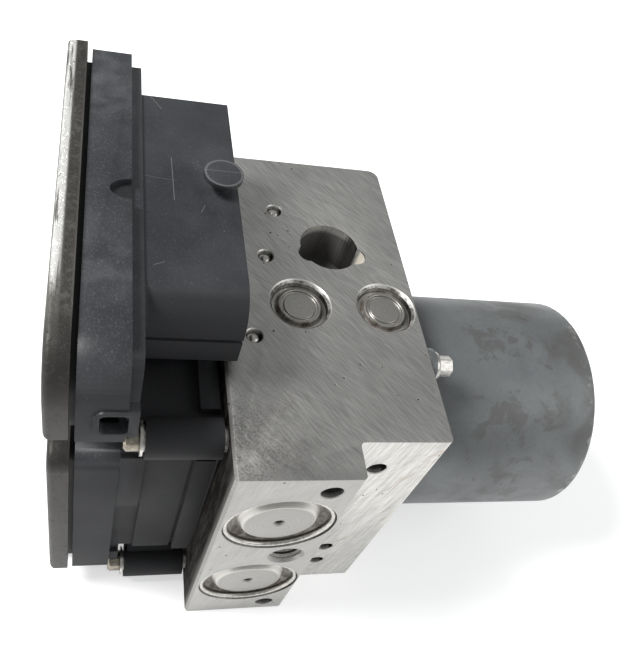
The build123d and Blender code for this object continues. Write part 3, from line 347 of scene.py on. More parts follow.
def machined_block(name):
    shade = colours()
    f = Finish(name, metallic=0.9, roughness=0.40)
    along_x, along_y, along_z = f.facing()
    nx = f.toward()[0]
    x, y, z = f.millimetres()
    low = f.noise(24.0, 4.0, 0.6)
    front_lines = f.noise(0.30, 2.0, 0.5, f.mapped(turn=(0, 0, math.radians(-58)), scale=(24.0, 1.0, 1.0)))
    front_cross = f.noise(0.22, 2.0, 0.5, f.mapped(turn=(0, 0, math.radians(-35)), scale=(28.0, 1.0, 1.0)))
    side_lines = f.noise(0.34, 3.0, 0.6, f.mapped(turn=(0, math.radians(8), 0), scale=(1.0, 1.0, 30.0)))
    side_cross = f.noise(0.25, 2.0, 0.6, f.mapped(turn=(0, math.radians(-35), 0), scale=(18.0, 1.0, 1.0)))
    brushed = (
        (front_lines * 0.6 + front_cross * 0.4) * along_z
        + (side_lines * 0.65 + side_cross * 0.35) * along_y
        + side_lines * along_x
    )
    contrast = brushed.ramp(0.34, 0.66)
    front = f.mix(contrast, tinted(shade.block, 0.78), tinted(shade.block, 1.20))
    side = f.mix(contrast, tinted(shade.block_side, 0.72), tinted(shade.block_side, 1.20))
    colour_now = f.mix(along_y, front, side)
    # soft darker clouds and pale spots
    colour_now = f.mix(low.ramp(0.45, 0.70) * 0.30, colour_now, tinted(shade.block, 0.66))
    colour_now = f.mix(y.ramp(12.0, -30.0) * along_z * 0.30, colour_now, tinted(shade.block, 0.55))
    spots = f.noise(5.5, 3.0, 0.5).ramp(0.64, 0.76)
    colour_now = f.mix(spots * 0.20, colour_now, tinted(shade.block, 1.5))
    # speckled dirt towards the controller side and along the lower edges
    near_corner = x.ramp(4.0, -15.0) * y.ramp(-16.0, -33.0)
    speckle = f.noise(0.45, 4.0, 0.75)
    grains = speckle.ramp(0.47, 0.61)
    clouded = f.noise(7.0, 3.0, 0.6).ramp(0.34, 0.56)
    dirt = grains * near_corner * along_z * (clouded * 0.6 + 0.3)
    colour_now = f.mix(near_corner * along_z * (clouded * 0.3 + 0.2), colour_now, (0.12, 0.118, 0.112))
    dirt = (dirt + f.noise(1.1, 4.0, 0.75).ramp(0.66, 0.76) * 0.35).at_most(1.0)
    # small pits
    pick = f.parts(f.cells(2.2, output="Color"))[0]
    pits = f.cells(2.2).ramp(0.14, 0.08) * pick.ramp(0.62, 0.66) * f.noise(14.0, 2.0, 0.5).ramp(0.42, 0.56)
    # brown streaks on the side faces, strongest near the step's outer edge
    streak = f.noise(2.2, 4.0, 0.65, f.mapped(turn=(0, math.radians(25), 0), scale=(1.0, 1.0, 4.0)))
    step_edge = x.ramp(12.0, 22.0) * z.ramp(36.0, 62.0)
    stained = (streak + step_edge * 0.10).ramp(0.58, 0.72) * along_y
    colour_now = f.mix(stained * 0.5, colour_now, tinted(shade.block_stain_and_shade, 2.6))
    # painted shade, with some grime, on the face towards the controller, which lies in deep shadow
    shaded_side = nx.ramp(-0.6, -0.9)
    grime_in_shade = f.noise(1.8, 5.0, 0.72, f.mapped(scale=(1.0, 1.0, 5.0))).ramp(0.34, 0.62)
    colour_now = f.mix(shaded_side * (0.88 + grime_in_shade * 0.12), colour_now, tinted(shade.block_stain_and_shade, 0.09))
    # darker over the block's lowest side face, beyond y -41 mm
    colour_now = f.mix(y.ramp(-41.0, -43.5) * 0.66, colour_now, tinted(shade.block_side, 0.45))
    colour_now = f.mix(dirt * 0.85, colour_now, (0.040, 0.038, 0.035))
    colour_now = f.mix(pits, colour_now, (0.02, 0.018, 0.015))
    # old dirt lies round the plugs
    rims = None
    for centre in PLUG_CENTRES:
        here = abs(f.distance("XY", centre) - 7.3).ramp(1.4, 0.7)
        rims = here if rims is None else rims.at_least(here)
    caked = f.noise(1.8, 4.0, 0.65).ramp(0.38, 0.60) * 0.7 + 0.2
    rims = rims * z.ramp(BLOCK_FRONT - 0.05, BLOCK_FRONT - 0.4) * z.ramp(60.0, 62.0) * caked
    colour_now = f.mix(rims, colour_now, (0.045, 0.040, 0.034))
    # painted shade inside the drillings and the front pocket
    hollow_shade = None
    for face, holes in SIDE_HOLES:
        depth = y.ramp(face + 0.5, face + 1.3)
        for across, up, radius in holes:
            here = f.inside("XZ", (across, up), radius) * depth
            hollow_shade = here if hollow_shade is None else hollow_shade.at_least(here)
    hollow_shade = hollow_shade.at_least(f.inside("XY", *FRONT_POCKET) * z.ramp(BLOCK_FRONT - 0.6, BLOCK_FRONT - 2.6))
    # a painted highlight on the lit end facet of the front pocket
    facet_highlight = f.inside("XY", *POCKET_FACET) * z.ramp(BLOCK_FRONT - 0.2, BLOCK_FRONT - 0.6)
    colour_now = f.mix(facet_highlight * 0.8, colour_now, (0.86, 0.82, 0.74))
    colour_now = f.mix(hollow_shade * 0.85, colour_now, (0.012, 0.011, 0.010))
    f.base(colour_now)
    f.rough(0.38 + contrast * 0.08 + hollow_shade * 0.2 + shaded_side * 0.55)
    f.metal((0.90 - dirt * 0.7 - pits * 0.5 - hollow_shade * 0.4).at_least(0.0))
    first = f.bump(brushed, 0.008, 0.5)
    f.bump(pits, -0.08, 0.9, first)
    return f


def bright_edge(name):
    shade = colours()
    f = Finish(name, metallic=0.95, roughness=0.30)
    wear = f.noise(1.2, 3.0, 0.6).ramp(0.3, 0.7)
    # painted shade on the edges that face the controller, as on the block's face there
    shaded_side = f.toward()[0].ramp(-0.25, -0.60)
    colour_now = f.mix(wear, tinted(shade.block, 1.1), tinted(shade.block, 1.7))
    f.base(f.mix(shaded_side * 0.92, colour_now, tinted(shade.block_stain_and_shade, 0.25)))
    f.rough(0.26 + wear * 0.16)
    f.bump(wear, 0.02, 0.4)
    return f


def moulded_plastic(name):
    shade = colours()
    f = Finish(name, roughness=0.45)
    nz = f.toward()[2]
    x, y, z = f.millimetres()
    cloud = f.noise(16.0, 3.0, 0.55).ramp(0.36, 0.68)
    fibre = f.noise(0.30, 4.0, 0.75, f.mapped(turn=(0.3, 0.2, 0.6), scale=(1.0, 2.0, 1.0))).ramp(0.50, 0.76)
    speck = f.noise(0.9, 4.0, 0.78).ramp(0.60, 0.76)
    # the frame's front strip is scuffed most; its soft paler zones near the top and around y -15 mm are a
    # painted sheen
    strip = nz.ramp(0.5, 0.9) * x.ramp(-40.0, -41.5)
    sheen_zones = (y.ramp(20.0, 30.0) + abs(y + 15.0).ramp(10.0, 2.0)) * f.noise(5.0, 3.0, 0.55).ramp(0.35, 0.65)
    dust = f.noise(0.38, 2.0, 0.7).ramp(0.66, 0.73) * f.noise(6.0, 3.0, 0.6).ramp(0.42, 0.66)
    pale = dust * 0.8 + fibre * (0.26 + strip * 0.26) + speck * (0.08 + strip * 0.22)
    pale = pale + cloud * 0.12 + sheen_zones * strip * 0.22
    colour_now = f.mix(pale.at_most(1.0), shade.plastic, shade.plastic_scuff)
    scratches = None
    for start, end, strength in SCRATCHES:
        here = f.segment(x, y, start, end, 0.10) * strength
        scratches = here if scratches is None else scratches.at_least(here)
    scratches = scratches * nz.ramp(0.6, 0.9) * z.ramp(90.0, 91.5)
    colour_now = f.mix(scratches * 0.5, colour_now, (0.26, 0.26, 0.26))
    # painted shade in the front strip's recess
    centre, half = RECESS
    oval = ((x - centre[0]) * (1.0 / half[0])) ** 2.0 + ((y - centre[1]) * (1.0 / half[1])) ** 2.0
    recess_shade = oval.ramp(1.10, 0.90) * z.ramp(RECESS_FLOOR + 0.8, RECESS_FLOOR + 0.4) * x.ramp(-41.5, -41.8)
    colour_now = f.mix(recess_shade * 0.7, colour_now, (0.006, 0.006, 0.007))
    # a painted highlight on the rim of the stud's top, and its mould line
    across = f.distance("XY", STUD)
    stud_top = z.ramp(STUD_TOP - 0.6, STUD_TOP - 0.3) * across.ramp(4.4, 4.2)
    rim_highlight_and_mould_line = abs(across - 3.65).ramp(0.30, 0.10) * 0.45 + abs(y - (STUD[1] + 0.5)).ramp(0.14, 0.05) * 0.35
    colour_now = f.mix(rim_highlight_and_mould_line * stud_top, colour_now, (0.16, 0.16, 0.165))
    # painted shade below the frame's step, which lies in shadow
    shaded_low_part = y.ramp(-24.0, -29.0) * nz.ramp(0.8, 0.3)
    colour_now = f.mix(shaded_low_part * 0.50, colour_now, (0.005, 0.005, 0.006))
    # painted shade: the valve room lies in the shroud's shadow and is painted deep black
    valve_room_shade = x.ramp(-40.5, -38.5) * y.ramp(-15.0, -18.0)
    colour_now = f.mix(valve_room_shade * 0.60, colour_now, (0.005, 0.005, 0.006))
    f.base(colour_now)
    f.rough(0.37 + cloud * 0.10 + fibre * 0.06 + valve_room_shade.at_least(shaded_low_part) * 0.40)
    first = f.bump(f.noise(0.28, 3.0, 0.6), 0.010, 0.4)
    f.bump(fibre + cloud * 2.0, 0.010, 0.35, first)
    return f


def plastic_edge(name):
    shade = colours()
    f = Finish(name, roughness=0.38)
    nz = f.toward()[2]
    wear = f.noise(1.6, 4.0, 0.7).ramp(0.48, 0.68)
    strip = nz.ramp(0.2, 0.6)
    f.base(f.mix(wear * (0.12 + strip * 0.5), tinted(shade.plastic, 1.7), (0.24, 0.25, 0.26)))
    f.rough(0.34 + wear * 0.14)
    f.bump(wear, 0.02, 0.4)
    return f


def cast_lid(name):
    shade = colours()
    f = Finish(name, metallic=0.7, roughness=0.50)
    x, y = f.millimetres()[:2]
    nz = f.toward()[2]
    # bright streaks worn along the front face's outer half, a dark pitted band beside them
    front = nz.ramp(0.35, 0.75)
    streak = f.noise(0.8, 4.0, 0.60, f.mapped(scale=(1.0, 20.0, 1.0))).ramp(0.39, 0.52)
    worn = front * streak * x.ramp(-55.5, -55.0) * x.ramp(-53.4, -54.0) * y.ramp(-24.0, -15.0)
    pitted = f.noise(1.3, 5.0, 0.78)
    holes = pitted.ramp(0.56, 0.68)
    band = front * x.ramp(-53.6, -53.1) * x.ramp(-51.3, -51.8) * pitted.ramp(0.38, 0.58)
    dull = f.noise(9.0, 4.0, 0.6, f.mapped(scale=(1.0, 3.0, 1.0))).ramp(0.3, 0.7)
    colour_now = f.mix(dull, tinted(shade.lid, 0.75), tinted(shade.lid, 1.35))
    # painted shade on the lid's lower part, below the step
    shaded_low_part = y.ramp(-24.0, -31.0)
    colour_now = f.mix(shaded_low_part * 0.80, colour_now, tinted(shade.lid, 0.30))
    colour_now = f.mix(band * 0.75, colour_now, tinted(shade.lid, 0.25))
    colour_now = f.mix(worn, colour_now, shade.lid_worn)
    colour_now = f.mix(holes * (0.30 + worn * 0.6), colour_now, tinted(shade.lid, 0.30))
    f.base(colour_now)
    f.metal(0.60 - holes * 0.25)
    f.rough(0.52 - worn * 0.28 + holes * 0.15)
    first = f.bump(f.noise(0.7, 4.0, 0.7), 0.04, 0.5)
    f.bump(pitted.ramp(0.68, 0.50), 0.10, 0.6, first)
    return f


def plated_motor(name):
    shade = colours()
    f = Finish(name, metallic=0.35, roughness=0.42)
    x = f.millimetres()[0]
    fine = f.noise(0.7, 4.0, 0.65, f.mapped(scale=(1.0, 2.0, 1.0)))
    cloud = f.noise(20.0, 4.0, 0.55)
    colour_now = f.mix(cloud.ramp(0.35, 0.65), tinted(shade.motor, 0.90), tinted(shade.motor, 1.15))
    colour_now = f.mix(fine.ramp(0.45, 0.75) * 0.35, colour_now, tinted(shade.motor, 0.65))
    # soft brown stains towards the end; darker near the block
    blotch = f.noise(13.0, 4.0, 0.55, warp=0.4)
    stain = (blotch + x.ramp(36.0, 60.0) * 0.10).ramp(0.50, 0.80)
    colour_now = f.mix(stain * (0.35 + x.ramp(46.0, 58.0) * 0.25), colour_now, shade.motor_stain)
    patches = f.noise(7.5, 6.0, 0.68, warp=0.3).ramp(0.53, 0.60) * x.ramp(36.0, 43.0) * x.ramp(68.0, 60.0)
    colour_now = f.mix(patches * 0.50, colour_now, shade.motor_stain)
    near = x.ramp(33.0, 24.0) * (0.4 + cloud.ramp(0.35, 0.6) * 0.6)
    colour_now = f.mix(near * 0.45, colour_now, tinted(shade.motor_stain, 0.5))
    # only the rounded edge of the can's end is worn, not its flat end
    end = x.ramp(69.5, 72.0) * f.facing()[0].ramp(0.95, 0.75)
    worn = f.noise(3.0, 4.0, 0.65).ramp(0.5, 0.66) * end
    colour_now = f.mix(worn * 0.6, colour_now, tinted(shade.steel, 0.8))
    f.base(colour_now)
    f.rough(0.40 + stain * 0.15 - worn * 0.1 + fine * 0.06)
    f.bump(fine, 0.012, 0.45)
    return f


def turned_steel(name, across, centres, dirt_rings, disc, disc_shade):
    """Turned or pressed steel with rings about each centre; dirt_rings are radii where dirt lies.

    Within the radius disc the steel has that share of its brightness.
    """
    shade = colours()
    f = Finish(name, metallic=0.92, roughness=0.30)
    radius = None
    for centre in centres:
        here = f.distance(across, centre)
        radius = here if radius is None else radius.at_most(here)
    rings = f.node(
        "ShaderNodeTexNoise", {"noise_dimensions": "1D"}, {"W": radius * 5.0, "Scale": 1.0, "Detail": 3.0}
    )
    patch = f.noise(2.4, 5.0, 0.68)
    ring = rings.ramp(0.3, 0.7)
    colour_now = f.mix(ring, tinted(shade.steel, 0.78), tinted(shade.steel, 1.15))
    shaded = radius.ramp(disc + 0.3, disc - 0.1) * (1.0 - disc_shade)
    colour_now = f.mix(shaded, colour_now, tinted(shade.steel, 0.15))
    dirt = None
    for start, end in dirt_rings:
        middle, half = (start + end) / 2, (end - start) / 2
        here = abs(radius - middle).ramp(half + 0.35, half - 0.15)
        dirt = here if dirt is None else dirt.at_least(here)
    dirt = dirt * (0.60 + patch.ramp(0.38, 0.62) * 0.4) + patch.ramp(0.60, 0.76) * 0.30
    colour_now = f.mix(dirt.at_most(1.0), colour_now, shade.rust)
    speck = f.noise(0.6, 3.0, 0.7).ramp(0.64, 0.72)
    colour_now = f.mix(speck * 0.5, colour_now, tinted(shade.rust, 0.6))
    f.base(colour_now)
    f.metal(0.92 - dirt.at_most(1.0) * 0.7)
    f.rough(0.28 + ring * 0.08 + dirt * 0.3)
    first = f.bump(rings, 0.03, 0.5)
    f.bump(patch, 0.04, 0.4, first)
    return f


def plug_steel(name):
    return turned_steel(name, "XY", PLUG_CENTRES, [(4.6, 5.4), (6.2, 7.2)], 4.5, 0.70)


def cover_steel(name):
    return turned_steel(name, "XZ", COVER_CENTRES, [(9.0, 10.6), (0.0, 0.9)], 7.2, 0.50)


def plated_screw(name):
    shade = colours()
    f = Finish(name, metallic=0.95, roughness=0.28)
    patch = f.noise(1.3, 4.0, 0.65)
    dark, light = tinted(shade.yellow_plate, 0.75), tinted(shade.yellow_plate, 1.3)
    colour_now = f.mix(patch.ramp(0.35, 0.65), dark, light)
    dirt = patch.ramp(0.58, 0.70)
    f.base(f.mix(dirt * 0.6, colour_now, shade.rust))
    f.rough(0.26 + dirt * 0.25)
    f.bump(patch, 0.03, 0.4)
    return f


def plain_steel(name):
    shade = colours()
    f = Finish(name, metallic=0.95, roughness=0.3)
    grain = f.noise(0.8, 4.0, 0.65)
    f.base(f.mix(grain.ramp(0.35, 0.68), tinted(shade.steel, 0.75), tinted(shade.steel, 1.2)))
    f.rough(0.26 + grain * 0.14)
    f.bump(grain, 0.015, 0.4)
    return f


def speckled(low, high, size, metallic=0.0, roughness=0.5, depth=0.02):
    """A maker of a plain two-tone finish with fine grain."""

    def make(name):
        f = Finish(name, metallic=metallic, roughness=roughness)
        grain = f.noise(size, 4.0, 0.65)
        f.base(f.mix(grain.ramp(0.35, 0.68), low, high))
        f.rough(roughness - 0.05 + grain * 0.12)
        f.bump(grain, depth, 0.45)
        return f

    return make


def lacquered_board(name):
    f = Finish(name, roughness=0.3, coat=0.4)
    tracks = f.cells(2.2, feature="DISTANCE_TO_EDGE").ramp(0.03, 0.06)
    pads = f.cells(1.6).ramp(0.16, 0.12)
    colour_now = f.mix(tracks, (0.012, 0.075, 0.035), (0.020, 0.125, 0.055))
    f.base(f.mix(pads, colour_now, (0.62, 0.60, 0.55)))
    f.rough(0.28 + pads * 0.15)
    f.bump(tracks, 0.03, 0.5)
    return f


def wound_copper(name):
    shade = colours()
    f = Finish(name, metallic=0.9, roughness=0.35)
    turns = f.noise(0.5, 1.0, 0.4, f.mapped(scale=(1.0, 30.0, 30.0)))
    f.base(f.mix(turns.ramp(0.3, 0.7), tinted(shade.copper, 0.5), tinted(shade.copper, 1.2)))
    f.rough(0.3 + turns * 0.15)
    f.bump(turns, 0.12, 0.8)
    return f


MAKERS = {
    "block aluminium": machined_block,
    "block edge": bright_edge,
    "housing plastic": moulded_plastic,
    "housing edge": plastic_edge,
    "lid aluminium": cast_lid,
    "motor plating": plated_motor,
    "plug steel": plug_steel,
    "cover steel": cover_steel,
    "yellow plated steel": plated_screw,
    "plain steel": plain_steel,
    "lacquered board": lacquered_board,
    "winding copper": wound_copper,
    "seal rubber": speckled((0.012, 0.012, 0.012), (0.03, 0.03, 0.03), 0.8, roughness=0.62),
    "sealant": speckled((0.004, 0.004, 0.005), (0.012, 0.012, 0.013), 1.5, roughness=0.55, depth=0.06),
    "magnet ferrite": speckled((0.035, 0.035, 0.04), (0.07, 0.07, 0.075), 0.6, metallic=0.2, roughness=0.6),
    "core laminations": speckled((0.12, 0.12, 0.125), (0.30, 0.30, 0.31), 0.5, metallic=0.9, roughness=0.4),
    "copper bars": speckled((0.35, 0.15, 0.08), (0.62, 0.30, 0.17), 0.7, metallic=0.95, roughness=0.3),
    "holder plastic": speckled((0.035, 0.03, 0.025), (0.07, 0.06, 0.05), 0.9, roughness=0.55),
    "brush carbon": speckled((0.015, 0.015, 0.015), (0.05, 0.05, 0.05), 0.35, roughness=0.6),
    "contact brass": speckled((0.45, 0.36, 0.20), (0.72, 0.62, 0.42), 0.8, metallic=0.95, roughness=0.28),
    "coil cover": speckled((0.018, 0.016, 0.014), (0.045, 0.04, 0.035), 0.7, roughness=0.5),
    "piston aluminium": speckled((0.40, 0.40, 0.39), (0.62, 0.62, 0.61), 0.6, metallic=0.92, roughness=0.32),
    "thread shadow": speckled((0.58, 0.56, 0.53), (0.86, 0.85, 0.82), 0.6, metallic=0.3, roughness=0.35),
}


def material(name):
    return finish_named(name, MAKERS[name])


# ---- pieces


def put(piece, body):
    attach(piece, body)
    return piece


def new_piece(name, mesh, *finishes):
    piece = bpy.data.objects.new(name, mesh)
    bpy.context.scene.collection.objects.link(piece)
    mesh.materials.clear()
    for finish in finishes:
        mesh.materials.append(material(finish))
    return piece


def paint(finish, *nodes):
    """Gives a finish to carried-over nodes, in their own material slots."""
    for node in nodes:
        mesh = frame["nodes"][node].data
        if not mesh.materials:
            mesh.materials.append(material(finish))
        for index in range(len(mesh.materials)):
            mesh.materials[index] = material(finish)


def settled(piece):
    """Applies the piece's modifiers to its mesh and removes them."""
    graph = bpy.context.evaluated_depsgraph_get()
    graph.update()
    mesh = bpy.data.meshes.new_from_object(
        piece.evaluated_get(graph), preserve_all_data_layers=True, depsgraph=graph
    )
    piece.modifiers.clear()
    piece.data = mesh
    return piece


def smoothed(mesh, angle):
    mesh.polygons.foreach_set("use_smooth", [True] * len(mesh.polygons))
    mesh.set_sharp_from_angle(angle=math.radians(angle))


def softened(name, node, finish, edge_finish=None, width=None, angle=32, segments=2):
    """A copy of a node with merged vertices and softened edges, which stands for the node."""
    mesh = bpy.data.meshes.new(name)
    shape = bmesh.new()
    shape.from_mesh(frame["nodes"][node].data)
    bmesh.ops.remove_doubles(shape, verts=shape.verts, dist=0.002 * MM)
    bmesh.ops.dissolve_limit(
        shape, angle_limit=math.radians(0.4), verts=shape.verts, edges=shape.edges, delimit={"NORMAL"}
    )
    shape.to_mesh(mesh)
    shape.free()
    piece = new_piece(name, mesh, finish, *([edge_finish] if edge_finish else []))
    for polygon in mesh.polygons:
        polygon.material_index = 0
    bevel = piece.modifiers.new("Softened edges", "BEVEL")
    bevel.width = width or sizes().edge_width
    bevel.segments = segments
    bevel.limit_method = "ANGLE"
    bevel.angle_limit = math.radians(angle)
    bevel.material = 1 if edge_finish else -1
    bevel.harden_normals = False
    bevel.use_clamp_overlap = True
    settled(piece)
    smoothed(piece.data, 40)
    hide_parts(node)
    put(piece, frame["nodes"][node]["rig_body"])
    return piece


def sprung(kind, side, axis, fixed_high):
    """A copy of a spring that stands for it; its piston's travel is looked up, but the copy is not shortened.
    """
    node, joint = f"{kind}_spring_{side}", f"{kind}_stroke_{side}"
    mesh = frame["nodes"][node].data.copy()
    piece = new_piece(f"{node}_coil", mesh, "plain steel")
    for polygon in mesh.polygons:
        polygon.material_index = 0
    smoothed(mesh, 40)
    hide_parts(node)
    put(piece, frame["nodes"][node]["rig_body"])
    low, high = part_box(node)
    travel = next(row["range_m"][1] for row in frame["record"]["behaviour"]["joints"] if row["name"] == joint)
    index = "XYZ".index(axis)
    anchor = [(a + b) / 2 for a, b in zip(low, high)]
    anchor[index] = (high if fixed_high else low)[index]
    1.0 - travel / (high[index] - low[index])
    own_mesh(piece)


def node_tree(name, inputs):
    """An empty geometry tree with named inputs: name, socket type, default."""
    tree = bpy.data.node_groups.new(name, "GeometryNodeTree")
    tree.interface.new_socket("Geometry", in_out="INPUT", socket_type="NodeSocketGeometry")
    for label, kind, value in inputs:
        socket = tree.interface.new_socket(label, in_out="INPUT", socket_type=kind)
        if value is not None:
            socket.default_value = value
    tree.interface.new_socket("Geometry", in_out="OUTPUT", socket_type="NodeSocketGeometry")
    return tree, tree.nodes.new("NodeGroupInput"), tree.nodes.new("NodeGroupOutput")


def run_tree(piece, tree, values):
    """Runs a geometry tree on a piece with values by input name, and keeps the result as a mesh."""
    modifier = piece.modifiers.new(tree.name, "NODES")
    modifier.node_group = tree
    keys = {item.name: item.identifier for item in tree.interface.items_tree if item.in_out == "INPUT"}
    for label, value in values.items():
        modifier[keys[label]] = value
    return settled(piece)


def thread_tree():
    """Rings of triangular section repeated along Z from the origin downwards."""
    tree, start, end = node_tree(
        "Thread ridges",
        [
            ("Radius", "NodeSocketFloat", 0.004), ("Pitch", "NodeSocketFloat", 0.00125),
            ("Depth", "NodeSocketFloat", 0.0005), ("Count", "NodeSocketInt", 8),
            ("Finish", "NodeSocketMaterial", None),
        ],
    )
    link = tree.links.new
    line = tree.nodes.new("GeometryNodeMeshLine")
    step = tree.nodes.new("ShaderNodeCombineXYZ")
    negative = tree.nodes.new("ShaderNodeMath")
    negative.operation = "MULTIPLY"
    negative.inputs[1].default_value = -1.0
    link(start.outputs["Pitch"], negative.inputs[0])
    link(negative.outputs[0], step.inputs["Z"])
    link(start.outputs["Count"], line.inputs["Count"])
    link(step.outputs[0], line.inputs["Offset"])
    ring = tree.nodes.new("GeometryNodeCurvePrimitiveCircle")
    ring.inputs["Resolution"].default_value = 40
    link(start.outputs["Radius"], ring.inputs["Radius"])
    section = tree.nodes.new("GeometryNodeCurvePrimitiveCircle")
    section.inputs["Resolution"].default_value = 3
    link(start.outputs["Depth"], section.inputs["Radius"])
    swept = tree.nodes.new("GeometryNodeCurveToMesh")
    link(ring.outputs[0], swept.inputs["Curve"])
    link(section.outputs[0], swept.inputs["Profile Curve"])
    copies = tree.nodes.new("GeometryNodeInstanceOnPoints")
    link(line.outputs[0], copies.inputs["Points"])
    link(swept.outputs[0], copies.inputs["Instance"])
    solid = tree.nodes.new("GeometryNodeRealizeInstances")
    link(copies.outputs[0], solid.inputs[0])
    dressed = tree.nodes.new("GeometryNodeSetMaterial")
    link(solid.outputs[0], dressed.inputs["Geometry"])
    link(start.outputs["Finish"], dressed.inputs["Material"])
    link(dressed.outputs[0], end.inputs[0])
    return tree


class BRAKEMODULE_OT_block(bpy.types.Operator):
    """Machined valve block with bright softened edges"""

    bl_idname = "brake_module.block"
    bl_label = "Valve block"

    def execute(self, context):
        softened("valve_block", "hydraulic_block", "block aluminium", "block edge")
        paint("plain steel", "ball_plugs")
        return {"FINISHED"}


class BRAKEMODULE_OT_threads(bpy.types.Operator):
    """Thread ridges inside the open screw hole and the pipe ports"""

    bl_idname = "brake_module.threads"
    bl_label = "Threads"

    def execute(self, context):
        tree = thread_tree()
        holes = []
        for mount in frame["record"]["mounts"]:
            if mount["kind"] == "threaded_hole":
                radius, length = (mount["dims"][key] * MM for key in ("r_mm", "length_mm"))
                holes.append((Vector(mount["pos_m"]), Vector(mount["axis"]), radius, length))
        shapes = bmesh.new()
        for place, axis, radius, length in holes:
            ridge = new_piece("ridge", bpy.data.meshes.new("ridge"))
            count = int(length / sizes().thread_pitch)
            run_tree(ridge, tree, {
                "Radius": radius - sizes().thread_depth * 0.35, "Pitch": sizes().thread_pitch,
                "Depth": sizes().thread_depth, "Count": count, "Finish": material("thread shadow"),
            })
            turn = axis.to_track_quat("Z", "Y").to_matrix().to_4x4()
            ridge.data.transform(Matrix.Translation(place - axis * sizes().thread_depth) @ turn)
            shapes.from_mesh(ridge.data)
            bpy.data.objects.remove(ridge)
        mesh = bpy.data.meshes.new("hole_threads")
        shapes.to_mesh(mesh)
        shapes.free()
        piece = new_piece("hole_threads", mesh, "thread shadow")
        smoothed(mesh, 30)
        put(piece, "module")
        return {"FINISHED"}


class BRAKEMODULE_OT_plugs(bpy.types.Operator):
    """Turned plugs over the pump and damper bores"""

    bl_idname = "brake_module.plugs"
    bl_label = "Pump and damper plugs"

    def execute(self, context):
        for side in ("top", "under"):
            for kind in ("pump", "damper"):
                node = f"{kind}_plug_{side}"
                softened(f"{node}_turned", node, "plug steel", width=0.12 * MM)
        return {"FINISHED"}


class BRAKEMODULE_OT_accumulators(bpy.types.Operator):
    """Dished accumulator covers, snap rings, pistons and springs"""

    bl_idname = "brake_module.accumulators"
    bl_label = "Accumulators"

    def execute(self, context):
        for side in ("top", "under"):
            node = f"accumulator_cover_{side}"
            softened(
                f"{node}_pressed", node, "cover steel", width=0.25 * MM, angle=20, segments=3
            )
            paint("piston aluminium", f"accumulator_piston_{side}")
            paint("seal rubber", f"accumulator_seal_{side}")
            paint("plain steel", f"pump_piston_{side}")
            sprung("accumulator", side, "Y", False)
            sprung("pump", side, "Z", side == "top")
        paint("plain steel", "snap_rings")
        return {"FINISHED"}


class BRAKEMODULE_OT_housing(bpy.types.Operator):
    """Glass-filled plastic housing with its connector shroud"""

    bl_idname = "brake_module.housing"
    bl_label = "Controller housing"

    def execute(self, context):
        softened(
            "housing_moulding", "controller_housing", "housing plastic", "housing edge",
            width=0.22 * MM,
        )
        paint("seal rubber", "housing_seal")
        paint("contact brass", "connector_pins", "motor_contact")
        paint("lacquered board", "circuit_board")
        paint("coil cover", "valve_coils")
        return {"FINISHED"}


class BRAKEMODULE_OT_lid(bpy.types.Operator):
    """Cast lid with sealant on its spigot"""

    bl_idname = "brake_module.lid"
    bl_label = "Lid"

    def execute(self, context):
        lid = softened(
            "lid_casting", "controller_lid", "lid aluminium", width=0.3 * MM, segments=3
        )
        # its spigot is covered by the black sealant that shows in the gap
        lid.data.materials.append(material("sealant"))
        underside = LID_UNDERSIDE + 0.05 * MM
        for polygon in lid.data.polygons:
            polygon.material_index = int(polygon.center.x > underside)
        return {"FINISHED"}


class BRAKEMODULE_OT_motor(bpy.types.Operator):
    """Motor can, end plate and the parts inside"""

    bl_idname = "brake_module.motor"
    bl_label = "Motor"

    def execute(self, context):
        softened("motor_can_drawn", "motor_can", "motor plating", width=0.3 * MM)
        softened("motor_plate_pressed", "motor_end_plate", "motor plating", width=0.25 * MM)
        paint("magnet ferrite", "motor_magnets")
        paint("core laminations", "armature_core")
        paint("winding copper", "armature_windings")
        paint("copper bars", "commutator")
        paint("holder plastic", "brush_holder")
        paint("brush carbon", "brushes")
        paint("plain steel", "rotor_shaft", "front_bearing", "rear_bearing")
        paint("plain steel", "eccentric_ring", "needle_rollers")
        return {"FINISHED"}


class BRAKEMODULE_OT_fasteners(bpy.types.Operator):
    """Screws, washers and bushes"""

    bl_idname = "brake_module.fasteners"
    bl_label = "Fasteners"

    def execute(self, context):
        softened("motor_screws_plated", "motor_screws", "plain steel", width=0.15 * MM)
        softened(
            "controller_screws_plated", "controller_screws", "yellow plated steel",
            width=0.15 * MM,
        )
        paint("plain steel", "controller_bushes", "washers")
        return {"FINISHED"}


class BRAKEMODULE_OT_valves(bpy.types.Operator):
    """Valve cartridges, plungers and springs"""

    bl_idname = "brake_module.valves"
    bl_label = "Valves"

    def execute(self, context):
        for number in range(1, 5):
            for kind in ("inlet", "outlet"):
                paint("plain steel", f"{kind}_valve_{number}", f"{kind}_plunger_{number}")
        paint("plain steel", "valve_springs")
        return {"FINISHED"}


